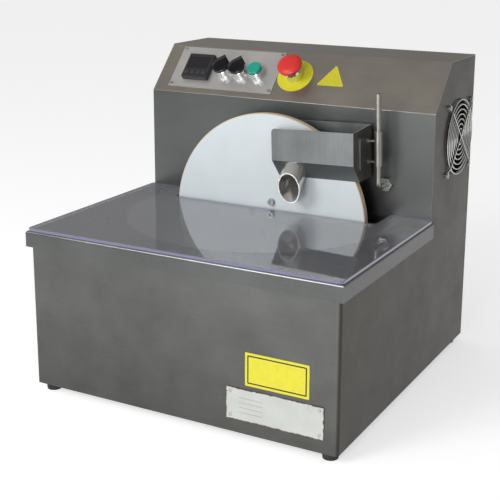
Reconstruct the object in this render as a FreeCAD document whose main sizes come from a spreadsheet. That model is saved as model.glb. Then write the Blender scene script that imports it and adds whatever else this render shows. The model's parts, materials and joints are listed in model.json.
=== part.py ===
import FreeCAD, Part
import math
import os
import re
import Sketcher

# Tabletop chocolate tempering machine.
# Frame: X to the right, Y to the back, Z up. The origin is on the table, under the
# middle of the base box. All lengths are millimetres and all angles degrees.

doc = FreeCAD.newDocument("TemperingMachine")
sheet = doc.addObject("Spreadsheet::Sheet", "Sizes")

# Driving sizes: name, value, what it is.
SIZES = (
    ("body_width", 494, "outside width of the base box and tower"),
    ("body_depth", 505, "outside depth of the base box"),
    ("skin", 1.5, "thickness of the folded steel sheet"),
    ("corner_radius", 6, "bend at the two front uprights"),
    ("fold_radius", 2, "outside radius of the tower folds"),
    ("foot_height", 12, "gap under the box"),
    ("foot_width", 24, "diameter of a rubber foot"),
    ("foot_inset", 18, "foot centre in from each side"),
    ("foot_screw_width", 5, "foot screw shank"),
    ("rim_top", 249, "height of the tank's flat deck"),
    ("rim_drop", 24, "depth of the turned-down rim"),
    ("rim_overhang", 5, "how far the rim stands out past the box"),
    ("rim_radius", 4, "bend along the top edge of the rim"),
    ("bowl_radius", 206, "inside radius of the bowl's round front"),
    ("bowl_setback", 78.5, "bowl's arc centre in front of the tower"),
    ("bowl_gap", 10, "bowl floor below the wheel's lowest point"),
    ("bowl_corner", 40, "inside rounding between bowl wall and floor"),
    ("tower_depth", 179, "depth of the tower"),
    ("panel_low", 412.5, "height of the fold under the slanted panel"),
    ("panel_angle", 46.5, "slope of the panel above level"),
    ("panel_length", 97, "length of the panel up its slope"),
    ("flange_width", 16, "turned-in rear flange that carries the rear cover"),
    ("lid_thickness", 4, "clear lid sheet"),
    ("lid_margin", 2, "lid edge in from the rim's edge"),
    ("lid_corner", 6, "corner rounding of the lid"),
    ("notch_left_gap", 2, "lid notch past the wheel's left edge"),
    ("notch_right_gap", 18.5, "lid notch past the wheel's right edge"),
    ("lid_gap", 6, "lid notch in front of the wheel face"),
    ("lid_tail_gap", 0.5, "lid's back edges in front of the tower"),
    ("wheel_width", 329, "diameter of the tempering wheel"),
    ("wheel_thickness", 12, "thickness of the wheel"),
    ("wheel_height", 236.5, "height of the wheel's axle"),
    ("wheel_setback", 56.3, "wheel's front face in front of the tower"),
    ("wheel_edge", 1, "bevel of the wheel's two edges"),
    ("hub_width", 80, "hub flange diameter"),
    ("hub_flange", 8, "hub flange thickness"),
    ("hub_boss_width", 40, "hub boss diameter"),
    ("hub_boss", 16, "hub boss length"),
    ("bolt_circle", 55, "pitch circle of the wheel screws"),
    ("bolt_phase", 75, "angle of the first wheel screw above +X"),
    ("wheel_screw_width", 6, "wheel screw shank"),
    ("wheel_screw_head", 4.3, "wheel screw head height"),
    ("wheel_washer", 1.2, "wheel washer thickness"),
    ("shaft_width", 20, "drive shaft diameter"),
    ("run_gap", 0.05, "radial clearance of a shaft in its hole"),
    ("loose_gap", 0.3, "clearance between a moving piece and its surroundings"),
    ("bush_width", 34, "bush barrel diameter"),
    ("bush_flange_width", 48, "bush flange diameter"),
    ("bush_flange", 5, "bush flange thickness"),
    ("bush_reach", 18, "bush length behind the tower's front sheet"),
    ("seal_width", 30, "shaft seal diameter"),
    ("seal_depth", 3.5, "shaft seal depth"),
    ("gearbox_gap", 26, "gearbox face behind the tower's front sheet"),
    ("gearbox_depth", 62, "gearbox length along the shaft"),
    ("gearbox_width", 86, "gearbox casing diameter and width"),
    ("worm_offset", 40, "motor axis above the wheel's axle"),
    ("motor_width", 84, "motor diameter"),
    ("motor_length", 150, "motor length"),
    ("spacer_circle", 68, "pitch circle of the gearbox spacers"),
    ("spacer_width", 12, "gearbox spacer diameter"),
    ("rod_x", 174.6, "scraper rod right of the middle"),
    ("rod_reach", 34.1, "upright rod in front of the tower"),
    ("rod_rise", 63.5, "rod's hole in the tower above the wheel's axle"),
    ("rod_lean", 1.9, "rod and scraper clamped this far off plumb"),
    ("rod_width", 8, "rod diameter"),
    ("rod_bend", 9, "rod's bend radius at its centre line"),
    ("rod_height", 142.6, "top of the rod above its horizontal leg"),
    ("rod_tail", 14, "rod behind the tower's front sheet"),
    ("nut_width", 19, "rod nut across flats"),
    ("nut_thickness", 8, "rod nut thickness"),
    ("collar_width", 13, "ferrule in front of the rod nut"),
    ("collar_length", 3, "ferrule length"),
    ("sleeve_low", 34, "bottom of the sleeve up the rod"),
    ("sleeve_length", 52, "length of the sleeve"),
    ("sleeve_width", 12, "sleeve diameter"),
    ("sleeve_screw_up", 25, "set screw above the sleeve's bottom"),
    ("sleeve_screw_width", 4, "set screw diameter"),
    ("sleeve_screw_turn", 45, "set screw round from the front towards the right"),
    ("box_sheet", 2, "scraper box sheet"),
    ("box_side", 19.8, "box end face left of the rod"),
    ("box_length", 134, "scraper box length"),
    ("box_front", 24.7, "box front in front of the wheel face"),
    ("box_back", 31.1, "box rear behind the wheel's rear face"),
    ("box_fold", 40.3, "front fold above the rod's horizontal leg"),
    ("box_top_front", 89, "front plate's top edge"),
    ("box_top_back", 92.6, "rear plate's top edge"),
    ("box_corner", 6, "rounding of the front plate's free corner"),
    ("chute_angle", 49, "slope of the box's underside below level"),
    ("scrape_gap", 0.3, "scraping edge to the wheel"),
    ("slot_end", 4, "metal left between slot and box end plate"),
    ("blade_thickness", 5, "wiper blade thickness"),
    ("blade_height", 17, "wiper blade top above the box floor"),
    ("spout_in", 32.3, "spout centre from the box's open end"),
    ("spout_width", 36, "spout tube diameter"),
    ("spout_wall", 1.5, "spout tube wall"),
    ("spout_angle", 50, "spout axis below level"),
    ("spout_cut", 8, "spout mouth off vertical"),
    ("spout_reach", 32.4, "spout mouth centre from the underside"),
    ("clamp_plate_depth", 39, "clamp plate front to back"),
    ("clamp_plate_fore", 25, "clamp plate in front of the rod"),
    ("clamp_plate_low", 29, "clamp plate's lower edge"),
    ("clamp_plate_height", 50, "clamp plate height"),
    ("stud_low", 40, "lower stud height"),
    ("stud_pitch", 31, "spacing of the two studs"),
    ("stud_width", 3.4, "stud diameter"),
    ("stud_nut_width", 7, "stud nut across flats"),
    ("stud_nut_thickness", 3, "stud nut thickness"),
    ("plate_in", 25, "control plate from the body's left side"),
    ("plate_up", 10.5, "control plate from the fold, up the slope"),
    ("plate_width", 192, "control plate width"),
    ("plate_height", 81, "control plate height"),
    ("plate_thickness", 1, "control plate thickness"),
    ("plate_screw_inset", 5, "plate screws in from the plate's edges"),
    ("plate_screw_width", 3, "plate screw shank"),
    ("controller_in", 46, "controller centre from the plate's left edge"),
    ("controller_up", 49, "controller centre up the slope"),
    ("controller_size", 48, "controller bezel, square"),
    ("controller_front", 8, "controller bezel above the plate"),
    ("controller_body", 44.6, "controller case behind the panel, square"),
    ("controller_depth", 72, "controller case behind the bezel"),
    ("screen_width", 38, "display window width"),
    ("screen_height", 23, "display window height"),
    ("screen_up", 5.5, "display centre above the controller's"),
    ("key_pitch", 10.7, "controller key spacing"),
    ("key_width", 8.4, "key width"),
    ("key_height", 6, "key height"),
    ("key_down", 14, "keys below the controller's centre"),
    ("key_stand", 1, "keys stand out of the bezel"),
    ("key_travel", 0.8, "key travel"),
    ("key_stem", 3, "key length inside the bezel"),
    ("selector_in", 92.5, "first selector from the plate's left edge"),
    ("selector_pitch", 30, "spacing of the two selectors"),
    ("start_in", 155, "start button from the plate's left edge"),
    ("device_up", 47, "push buttons and selectors up the slope"),
    ("device_hole", 22.4, "panel hole for a 22 mm device"),
    ("neck_width", 22, "threaded neck of a device"),
    ("neck_length", 18, "neck below the mounting face"),
    ("neck_bore", 16, "bore of a neck"),
    ("bezel_width", 29, "bezel diameter"),
    ("bezel_height", 12, "bezel height"),
    ("bezel_bore", 23.2, "bezel's front recess"),
    ("button_top", 17.5, "start button's face above the plate"),
    ("button_travel", 4, "start button travel"),
    ("stem_length", 12, "button stem below the mounting face"),
    ("knob_skirt_width", 27, "selector skirt diameter"),
    ("knob_skirt", 5, "selector skirt height"),
    ("knob_top", 31, "selector handle above the plate"),
    ("handle_foot", 11, "selector handle width at the skirt"),
    ("handle_width", 5, "selector handle width along its top"),
    ("handle_tip", 15.5, "selector handle tip from its axis"),
    ("handle_tail", 12, "selector handle tail from its axis"),
    ("handle_drop", 7, "handle top falls from the axis to the tail"),
    ("handle_turn", 40, "handle direction above level"),
    ("ring_gap", 0.5, "yellow ring clear of the control plate"),
    ("estop_up", 49, "emergency button up the slope"),
    ("ring_width", 60, "yellow ring diameter"),
    ("ring_thickness", 1, "yellow ring thickness"),
    ("estop_collar_height", 17, "emergency collar height"),
    ("estop_head_width", 40, "mushroom head diameter"),
    ("estop_head_low", 25, "underside of the mushroom's skirt"),
    ("estop_skirt", 6, "height of the skirt's side"),
    ("estop_dome", 4, "dome above the skirt"),
    ("block_width", 28.5, "contact block width"),
    ("block_height", 42, "contact block height"),
    ("block_length", 50, "contact block behind the panel"),
    ("fan_back", 67.9, "fan centre in front of the rear face"),
    ("fan_z", 361.2, "fan centre height"),
    ("fan_size", 119, "fan frame, square"),
    ("fan_depth", 38, "fan frame depth"),
    ("fan_bore", 113, "fan air opening"),
    ("fan_pitch", 104.8, "fan screw spacing"),
    ("fan_screw_width", 4.2, "fan screw shank"),
    ("fan_hub", 46, "fan hub diameter"),
    ("blade_reach", 53, "fan blade tip radius"),
    ("guard_wire", 2, "guard wire diameter"),
    ("guard_ring", 58.4, "guard's outer ring radius"),
    ("guard_rings", 7, "number of guard rings"),
    ("guard_ring_step", 7.6, "spacing of the guard rings"),
    ("guard_stand", 2.8, "guard rings stand off the side"),
    ("guard_eye", 9, "guard foot diameter"),
    ("vent_length", 110, "length of a rear vent slot"),
    ("vent_width", 6, "height of a rear vent slot"),
    ("vent_pitch", 15, "spacing of the rear vent slots"),
    ("vent_count", 8, "rear vent slots in a row"),
    ("vent_low", 60, "lowest rear vent above the box's bottom"),
    ("cover_screw_width", 4, "rear cover screw shank"),
    ("cover_screw_pitch", 140, "spacing of the rear cover screws"),
    ("inlet_in", 70, "power inlet from the rear's left edge, seen from the front"),
    ("inlet_up", 60, "power inlet height above the box's bottom"),
    ("heater_width", 220, "bowl heater diameter"),
    ("heater_thickness", 8, "bowl heater thickness"),
    ("heater_fore", 55, "heater centre in front of the bowl's arc centre"),
    ("heater_post", 12, "heater terminal length"),
    ("heater_post_width", 6, "heater terminal diameter"),
    ("probe_boss", 5, "sensor boss thickness"),
    ("probe_boss_width", 17, "sensor boss across flats"),
    ("probe_width", 8, "sensor diameter"),
    ("probe_length", 14, "sensor length below its boss"),
    ("rail_back", 60, "switchgear rail centre in front of the rear face"),
    ("rail_left", 60, "rail's left end right of the middle"),
    ("rail_length", 160, "rail length"),
    ("rail_width", 35, "rail width over its lips"),
    ("rail_lip", 5, "rail lip width"),
    ("rail_height", 7.5, "rail height"),
    ("rail_sheet", 1, "rail sheet"),
    ("contactor_in", 20, "contactor from the rail's left end"),
    ("contactor_width", 45, "contactor width"),
    ("contactor_depth", 74, "contactor depth"),
    ("contactor_height", 50, "contactor body height"),
    ("contactor_head", 30, "contactor head height"),
    ("contactor_head_depth", 44, "contactor head depth"),
    ("strip_in", 80, "terminal strip from the rail's left end"),
    ("strip_pitch", 8, "terminal pitch"),
    ("strip_depth", 42, "terminal depth"),
    ("strip_height", 36, "terminal height"),
    ("strip_groove", 1, "gap between two terminals"),
    ("strip_groove_depth", 10, "depth of that gap"),
)


def fill_sheet():
    """One row a size: its name, its plain number and what it is."""
    for row, (name, value, note) in enumerate(SIZES, start=1):
        sheet.set(f"A{row}", name)
        sheet.set(f"B{row}", str(value))
        sheet.set(f"C{row}", note)
        sheet.setAlias(f"B{row}", name)
    doc.recompute()


fill_sheet()
NAMES = {name for name, _value, _note in SIZES}


def bound(text):
    """A formula in plain size names, as the document writes it."""
    def prefix(word):
        return f"Sizes.{word[0]}" if word[0] in NAMES else word[0]
    return re.sub(r"[a-z][a-z_0-9]*", prefix, str(text))


def number(text):
    """The present value of a formula."""
    value = sheet.evalExpression(bound(text))
    return float(getattr(value, "Value", value))


# Places that several pieces share.
HALF = "(body_width / 2)"
FRONT = "(-body_depth / 2)"
BACK = "(body_depth / 2)"
TOWER = "(body_depth / 2 - tower_depth)"
INNER = "(body_width / 2 - skin)"
DECK = "(rim_top - skin)"
TOP = "(panel_low + panel_length * sin(panel_angle))"
PANEL_END = f"({TOWER} + panel_length * cos(panel_angle))"
BOWL_Y = f"({TOWER} - bowl_setback)"
BOWL_FLOOR = "(wheel_height - wheel_width / 2 - bowl_gap)"
WHEEL_FACE = f"({TOWER} - wheel_setback)"
WHEEL_REAR = f"({WHEEL_FACE} + wheel_thickness)"
BULKHEAD = f"({TOWER} + skin)"
GEARBOX = f"({BULKHEAD} + gearbox_gap)"
PLATE_LEFT = f"(plate_in - {HALF})"
ESTOP_X = f"({PLATE_LEFT} + plate_width + ring_gap + ring_width / 2)"
ROD_Z = "(wheel_height + rod_rise)"
ROD_Y = f"({TOWER} - rod_reach)"

# The scraper pieces' own frame stands at the rod's corner.
FACE = f"({WHEEL_FACE} - {ROD_Y})"
REAR = f"({WHEEL_REAR} - {ROD_Y})"
BOX_FRONT = f"({FACE} - box_front)"
BOX_BACK = f"({REAR} + box_back)"
BOX_RIGHT = "(-box_side)"
BOX_LEFT = "(-box_side - box_length)"
CHUTE_END = f"({FACE} - scrape_gap)"
BOX_FLOOR = "(box_fold - (box_front - scrape_gap) * tan(chute_angle))"
SPOUT_X = f"({BOX_LEFT} + spout_in)"

AXIS_SIGN = {"XY": 1, "XZ": -1, "YZ": 1}
X_AXIS, Y_AXIS, Z_AXIS = (1, 0, 0), (0, 1, 0), (0, 0, 1)


def place(piece, x="0", y="0", z="0", axis=Z_AXIS, angle="0"):
    """Bind a piece's Placement to the sheet."""
    for letter, text in zip("xyz", (x, y, z)):
        piece.setExpression(f".Placement.Base.{letter}", bound(text))
    for letter, part in zip("xyz", axis):
        piece.setExpression(f".Placement.Rotation.Axis.{letter}", str(part))
    piece.setExpression(".Placement.Rotation.Angle", bound(angle))


def body(label, **where):
    """A new sub-part; its label names its file."""
    piece = doc.addObject("PartDesign::Body", label)
    piece.Label = label
    place(piece, **where)
    return piece


def on_panel(x, up, out="0"):
    """A place on the slanted panel: local x across, y up the slope, z out."""
    return {
        "x": x,
        "y": f"{TOWER} + ({up}) * cos(panel_angle) - ({out}) * sin(panel_angle)",
        "z": f"panel_low + ({up}) * sin(panel_angle) + ({out}) * cos(panel_angle)",
        "axis": X_AXIS,
        "angle": "panel_angle",
    }


def on_rod():
    """The scraper's place: local z runs up the leaning rod."""
    return {"x": "rod_x", "y": ROD_Y, "z": ROD_Z, "axis": Y_AXIS, "angle": "-rod_lean"}


def facing_front(x, y, z):
    """Local z points to the front and local y up."""
    return {"x": x, "y": y, "z": z, "axis": X_AXIS, "angle": "90"}


def facing_right(x, y, z):
    """Local z points right, local y to the back and local x down."""
    return {"x": x, "y": y, "z": z, "axis": Y_AXIS, "angle": "90"}


# Outlines: each is a function that draws itself into a sketch.

def bind(sketch, kind, places, value):
    """Add one driving constraint whose value is a formula."""
    index = sketch.addConstraint(Sketcher.Constraint(kind, *places, number(value)))
    sketch.setExpression(f"Constraints[{index}]", bound(value))


def polygon(*corners):
    """Closed outline through corners, each (across, up)."""
    def draw(sketch):
        first = sketch.GeometryCount
        points = [FreeCAD.Vector(number(x), number(y), 0) for x, y in corners]
        count = len(points)
        for step in range(count):
            sketch.addGeometry(Part.LineSegment(points[step], points[(step + 1) % count]))
        for step in range(count):
            after = first + (step + 1) % count
            sketch.addConstraint(Sketcher.Constraint("Coincident", first + step, 2, after, 1))
        for step, (x, y) in enumerate(corners):
            bind(sketch, "DistanceX", (-1, 1, first + step, 1), x)
            bind(sketch, "DistanceY", (-1, 1, first + step, 1), y)
    return draw


def rectangle(left, right, low, high):
    return polygon((left, low), (right, low), (right, high), (left, high))


def circle(x, y, width):
    """A full circle; width is its diameter."""
    def draw(sketch):
        index = sketch.GeometryCount
        centre = FreeCAD.Vector(number(x), number(y), 0)
        sketch.addGeometry(Part.Circle(centre, FreeCAD.Vector(0, 0, 1), number(width) / 2))
        bind(sketch, "DistanceX", (-1, 1, index, 3), x)
        bind(sketch, "DistanceY", (-1, 1, index, 3), y)
        bind(sketch, "Diameter", (index,), width)
    return draw


def hexagon(x, y, flats):
    """A hexagon across its flats, two corners level with its centre."""
    corners = []
    for step in range(6):
        reach = f"({flats}) / sqrt(3)"
        corners.append((f"{x} + {reach} * cos({60 * step})", f"{y} + {reach} * sin({60 * step})"))
    return polygon(*corners)


def circles(centres, width):
    return [circle(x, y, width) for x, y in centres]


def sketch_on(piece, plane, at, *outlines, turn=None):
    """A sketch on an origin plane of the piece, moved out to the coordinate at."""
    sketch = piece.newObject("Sketcher::SketchObject", f"{piece.Label}_outline")
    for feature in piece.Origin.OriginFeatures:
        if feature.Role == f"{plane}_Plane":
            sketch.AttachmentSupport = (feature, [""])
    sketch.MapMode = "FlatFace"
    sketch.setExpression(".AttachmentOffset.Base.z", bound(f"{AXIS_SIGN[plane]} * ({at})"))
    if turn:
        axis, angle = turn
        for letter, part in zip("xyz", axis):
            sketch.setExpression(f".AttachmentOffset.Rotation.Axis.{letter}", str(part))
        sketch.setExpression(".AttachmentOffset.Rotation.Angle", bound(angle))
    for outline in outlines:
        outline(sketch)
    return sketch


def settle(feature):
    """Recompute and refuse a feature that failed."""
    doc.recompute()
    if "Invalid" in feature.State or "Error" in feature.State or feature.Shape.isNull():
        raise RuntimeError(f"{feature.Label} failed")
    return feature


def extrude(kind, piece, sketch, length, towards):
    """A Pad or Pocket of a sketch, whose change of volume is checked."""
    before = piece.Shape.Volume if piece.Tip else 0
    feature = piece.newObject(f"PartDesign::{kind}", f"{piece.Label}_{kind.lower()}")
    feature.Profile = sketch
    feature.setExpression("Length", bound(length))
    feature.Reversed = (towards > 0) == (kind == "Pocket")
    settle(feature)
    if (piece.Shape.Volume > before) != (kind == "Pad"):
        raise RuntimeError(f"{feature.Label} changed nothing")
    return feature


def both_sides(kind, piece, sketch, length):
    """A Pad or Pocket that runs half its length to each side of its sketch."""
    feature = piece.newObject(f"PartDesign::{kind}", f"{piece.Label}_{kind.lower()}")
    feature.Profile = sketch
    feature.Midplane = True
    feature.setExpression("Length", bound(length))
    return settle(feature)


def block(piece, plane, low, high, *outlines):
    """Add material between two coordinates along the plane's axis."""
    sketch = sketch_on(piece, plane, low, *outlines)
    return extrude("Pad", piece, sketch, f"({high}) - ({low})", AXIS_SIGN[plane])


def cut(piece, plane, low, high, *outlines):
    """Take material away between two coordinates along the plane's axis."""
    sketch = sketch_on(piece, plane, low, *outlines)
    return extrude("Pocket", piece, sketch, f"({high}) - ({low})", AXIS_SIGN[plane])


def turned(piece, *outlines):
    """A solid of revolution about local z; outlines are (radius, z)."""
    sketch = sketch_on(piece, "XZ", "0", *outlines)
    feature = piece.newObject("PartDesign::Revolution", f"{piece.Label}_turned")
    feature.Profile = sketch
    feature.ReferenceAxis = (sketch, ["V_Axis"])
    feature.Angle = 360
    return settle(feature)


def along(edge, axis):
    """True for a straight edge that runs along the axis."""
    if not isinstance(edge.Curve, Part.Line):
        return False
    return abs(edge.Curve.Direction.dot(FreeCAD.Vector(*axis))) > 0.999


def edges(piece, axis=None, x=None, y=None, z=None, arcs=False):
    """Names of the piece's edges whose middle has the given local coordinates."""
    shape = piece.Tip.Shape
    wanted = [None if text is None else number(text) for text in (x, y, z)]
    found = []
    for index, edge in enumerate(shape.Edges, start=1):
        middle = edge.BoundBox.Center
        offsets = [abs(a - b) for a, b in zip(middle, wanted) if b is not None]
        fits_axis = axis is None or along(edge, axis)
        fits_arcs = not arcs or isinstance(edge.Curve, Part.Circle)
        if fits_axis and fits_arcs and all(offset < 0.01 for offset in offsets):
            found.append(f"Edge{index}")
    return found


def soften(kind, piece, names, size):
    """A Fillet or Chamfer on named edges of the tip."""
    if not names:
        raise RuntimeError(f"{piece.Label} has no such edges")
    base = piece.Tip
    feature = piece.newObject(f"PartDesign::{kind}", f"{piece.Label}_{kind.lower()}")
    feature.Base = (base, names)
    feature.setExpression("Radius" if kind == "Fillet" else "Size", bound(size))
    return settle(feature)


def fillet(piece, names, radius):
    return soften("Fillet", piece, names, radius)


def chamfer(piece, names, size):
    return soften("Chamfer", piece, names, size)


def screws(label, where, centres, head, height, shank, length, socket=None):
    """Round-headed screws seated at local z 0; one solid each."""
    piece = body(label, **where)
    block(piece, "XY", "0", height, *circles(centres, head))
    block(piece, "XY", f"-({length})", "0", *circles(centres, shank))
    if socket:
        drives = [hexagon(x, y, socket) for x, y in centres]
        cut(piece, "XY", f"({height}) * 0.4", height, *drives)
    return piece


def both_ways(x, y):
    """The four corners of a rectangle about the origin."""
    return [(f"{a} * ({x})", f"{b} * ({y})") for a in (-1, 1) for b in (-1, 1)]


# ---------------------------------------------------------------- housing

def tower_outline(inset):
    """Front fold, panel and top of the tower, moved in by the inset."""
    low = f"panel_low - ({inset}) * (1 - sin(panel_angle)) / cos(panel_angle)"
    end = f"{PANEL_END} + ({inset}) * (1 - cos(panel_angle)) / sin(panel_angle)"
    return (f"{TOWER} + {inset}", low), (end, f"{TOP} - {inset}")


def make_base_housing():
    """Front and both sides in one wrapped sheet; the sides rise into the tower."""
    piece = body("base_housing")
    ledge = f"{BACK} - skin"
    right = [
        (HALF, FRONT), (HALF, BACK), (INNER, BACK), (INNER, ledge),
        (f"{HALF} - flange_width", ledge), (f"{HALF} - flange_width", f"{ledge} - skin"),
        (INNER, f"{ledge} - skin"), (INNER, f"{FRONT} + skin"),
    ]
    left = [(f"-{x}" if x in (HALF, INNER) else f"-({x})", y) for x, y in reversed(right)]
    block(piece, "XY", "foot_height", TOP, polygon(*right, *left))
    fold, crown = tower_outline("skin")
    spare = "10"
    above = [
        (f"{FRONT} - {spare}", DECK), (f"{TOWER} + skin", DECK), fold, crown,
        (f"{BACK} + {spare}", f"{TOP} - skin"), (f"{BACK} + {spare}", f"{TOP} + {spare}"),
        (f"{FRONT} - {spare}", f"{TOP} + {spare}"),
    ]
    cut(piece, "YZ", f"-{HALF} - 1", f"{HALF} + 1", polygon(*above))
    floor = rectangle(f"-{INNER}", INNER, f"{BACK} - flange_width", BACK)
    cut(piece, "XY", "foot_height", "foot_height + skin", floor)
    inside = edges(piece, Z_AXIS, x=INNER, y=f"{FRONT} + skin")
    inside += edges(piece, Z_AXIS, x=f"-{INNER}", y=f"{FRONT} + skin")
    fillet(piece, inside, "corner_radius - skin")
    uprights = edges(piece, Z_AXIS, x=HALF, y=FRONT) + edges(piece, Z_AXIS, x=f"-{HALF}", y=FRONT)
    fillet(piece, uprights, "corner_radius")
    fan_y = f"{BACK} - fan_back"
    half = "fan_pitch / 2"
    holes = [(f"{fan_y} + {a} * {half}", f"fan_z + {b} * {half}") for a in (-1, 1) for b in (-1, 1)]
    cut(piece, "YZ", f"{INNER} - 1", f"{HALF} + 1", circle(fan_y, "fan_z", "fan_bore"),
        *circles(holes, "fan_screw_width + 2 * run_gap"))
    cut(piece, "XZ", f"{BACK} - 3 * skin", f"{BACK} - skin",
        *circles(cover_screw_places(), "cover_screw_width + 2 * run_gap"))


def cover_screw_places():
    """Rear cover screws: three up each rear flange."""
    x = f"({HALF} - flange_width / 2)"
    middle = f"(foot_height + {TOP}) / 2"
    rows = [f"{middle} + {step} * cover_screw_pitch" for step in (-1, 0, 1)]
    return [(f"{side} * {x}", z) for side in (-1, 1) for z in rows]


def make_bottom_plate():
    piece = body("bottom_plate")
    plate = rectangle(f"-{INNER}", INNER, f"{FRONT} + skin", f"{BACK} - skin")
    block(piece, "XY", "foot_height", "foot_height + skin", plate)
    front = edges(piece, Z_AXIS, x=INNER, y=f"{FRONT} + skin")
    front += edges(piece, Z_AXIS, x=f"-{INNER}", y=f"{FRONT} + skin")
    fillet(piece, front, "corner_radius - skin")
    cut(piece, "XY", "foot_height - 1", "foot_height + skin + 1",
        *circles(foot_places(), "foot_screw_width + 2 * run_gap"))


def foot_places():
    return both_ways(f"{HALF} - foot_inset", f"{BACK} - foot_inset")


def make_feet():
    """Four tapered rubber feet, each held by a screw from inside its recess."""
    piece = body("rubber_feet")
    sketch = sketch_on(piece, "XY", "foot_height", *circles(foot_places(), "foot_width"))
    pad = extrude("Pad", piece, sketch, "foot_height", -1)
    pad.TaperAngle = -6
    settle(pad)
    cut(piece, "XY", "0", "foot_height * 0.55", *circles(foot_places(), "foot_width * 0.45"))
    cut(piece, "XY", "0", "foot_height", *circles(foot_places(), "foot_screw_width + 2 * run_gap"))
    where = {"z": "foot_height * 0.55", "axis": X_AXIS, "angle": "180"}
    screws("foot_screws", where, foot_places(), "foot_width * 0.38", "3", "foot_screw_width",
           "foot_height * 0.45 + skin + 1")


def make_tower_cover():
    """Bulkhead, slanted panel and top in one folded sheet."""
    piece = body("tower_cover")
    low = "foot_height + skin"
    fold, crown = tower_outline("0")
    inner_fold, inner_crown = tower_outline("skin")
    profile = [(TOWER, low), fold, crown, (BACK, TOP), (BACK, f"{TOP} - skin"),
               inner_crown, inner_fold, (BULKHEAD, low)]
    block(piece, "YZ", f"-{HALF}", HALF, polygon(*profile))
    fillet(piece, edges(piece, X_AXIS, y=TOWER, z="panel_low"), "fold_radius")
    fillet(piece, edges(piece, X_AXIS, y=PANEL_END, z=TOP), "fold_radius")
    strips = [rectangle(INNER, f"{HALF} + 1", "foot_height", DECK),
              rectangle(f"-{HALF} - 1", f"-{INNER}", "foot_height", DECK)]
    cut(piece, "XZ", f"{TOWER} - 1", f"{BULKHEAD} + 1", *strips)
    cut(piece, "XZ", f"{TOWER} - 1", f"{BULKHEAD} + 1",
        circle("0", "wheel_height", "bush_width"), circle("rod_x", ROD_Z, "rod_width + 0.2"))
    half = "(controller_body / 2 + 0.2)"
    x, up = f"{PLATE_LEFT} + controller_in", "controller_up"
    window = rectangle(f"{x} - {half}", f"{x} + {half}", f"{up} - {half}", f"{up} + {half}")
    tilted_cut(piece, TOWER, "panel_low", "panel_angle", "2 * skin", window,
               *circles(device_places(), "device_hole"))
    tilted_cut(piece, TOWER, "panel_low", "panel_angle", "2 * skin",
               *circles(plate_screw_places(), "plate_screw_width + 2 * run_gap"))


def tilted_sketch(piece, y, z, angle, *outlines):
    """A sketch on a plane through the line (y, z), turned about X."""
    sketch = sketch_on(piece, "XY", z, *outlines, turn=(X_AXIS, angle))
    sketch.setExpression(".AttachmentOffset.Base.y", bound(y))
    return sketch


def tilted_cut(piece, y, z, angle, depth, *outlines):
    sketch = tilted_sketch(piece, y, z, angle, *outlines)
    return extrude("Pocket", piece, sketch, depth, -1)


def device_places():
    """Centres of the 22 mm devices: two selectors, start and emergency."""
    left = PLATE_LEFT
    return [(f"{left} + selector_in", "device_up"),
            (f"{left} + selector_in + selector_pitch", "device_up"),
            (f"{left} + start_in", "device_up"), (ESTOP_X, "estop_up")]


def plate_screw_places():
    inset = "plate_screw_inset"
    return [(f"{PLATE_LEFT} + {x}", f"plate_up + {y}")
            for x in (inset, f"plate_width - {inset}")
            for y in (inset, f"plate_height - {inset}")]


def make_rear_cover():
    """Flat rear cover with two columns of vent slots and the power inlet's window."""
    piece = body("rear_cover")
    panel = rectangle(f"-{INNER}", INNER, "foot_height", f"{TOP} - skin")
    block(piece, "XZ", f"{BACK} - skin", BACK, panel)
    slots = []
    for side in (-1, 1):
        x = f"{side} * vent_length * 0.75"
        for step in range(round(number("vent_count"))):
            low = f"foot_height + vent_low + {step} * vent_pitch + {TOP} / 2 - foot_height"
            slots.append(rectangle(f"{x} - vent_length / 2", f"{x} + vent_length / 2",
                                   low, f"{low} + vent_width"))
    cut(piece, "XZ", f"{BACK} - skin - 1", f"{BACK} + 1", *slots)
    inlet_x, inlet_z = inlet_place()
    window = rectangle(f"{inlet_x} - 13.9", f"{inlet_x} + 13.9", f"{inlet_z} - 10.2", f"{inlet_z} + 10.2")
    cut(piece, "XZ", f"{BACK} - skin - 1", f"{BACK} + 1", window,
        *circles(cover_screw_places(), "cover_screw_width + 2 * run_gap"))
    where = {"y": BACK, "axis": X_AXIS, "angle": "-90"}
    places = [(x, f"-({z})") for x, z in cover_screw_places()]
    screws("cover_screws", where, places, "cover_screw_width * 2", "2.6", "cover_screw_width",
           "3 * skin", "2.5")


def inlet_place():
    return f"(inlet_in - {HALF})", "(foot_height + inlet_up)"


def make_power_inlet():
    """Three-pin appliance inlet: flange outside, socket case inside."""
    x, z = inlet_place()
    piece = body("power_inlet", x=x, y=BACK, z=z)
    block(piece, "XZ", "0", "3", rectangle("-25", "25", "-11.5", "11.5"))
    block(piece, "XZ", "-22", "0", rectangle("-13.5", "13.5", "-9.8", "9.8"))
    cut(piece, "XZ", "-16", "3", polygon(("-12", "-8"), ("12", "-8"), ("12", "4"), ("8", "8"),
                                         ("-8", "8"), ("-12", "4")))
    pins = [rectangle(f"{a} - 1", f"{a} + 1", f"{b} - 2", f"{b} + 2")
            for a, b in (("-7", "-2"), ("7", "-2"), ("0", "2"))]
    block(piece, "XZ", "-17", "-2", *pins)
    fillet(piece, edges(piece, Y_AXIS, x="25") + edges(piece, Y_AXIS, x="-25"), "3")


# ---------------------------------------------------------------- tank and lid

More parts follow.
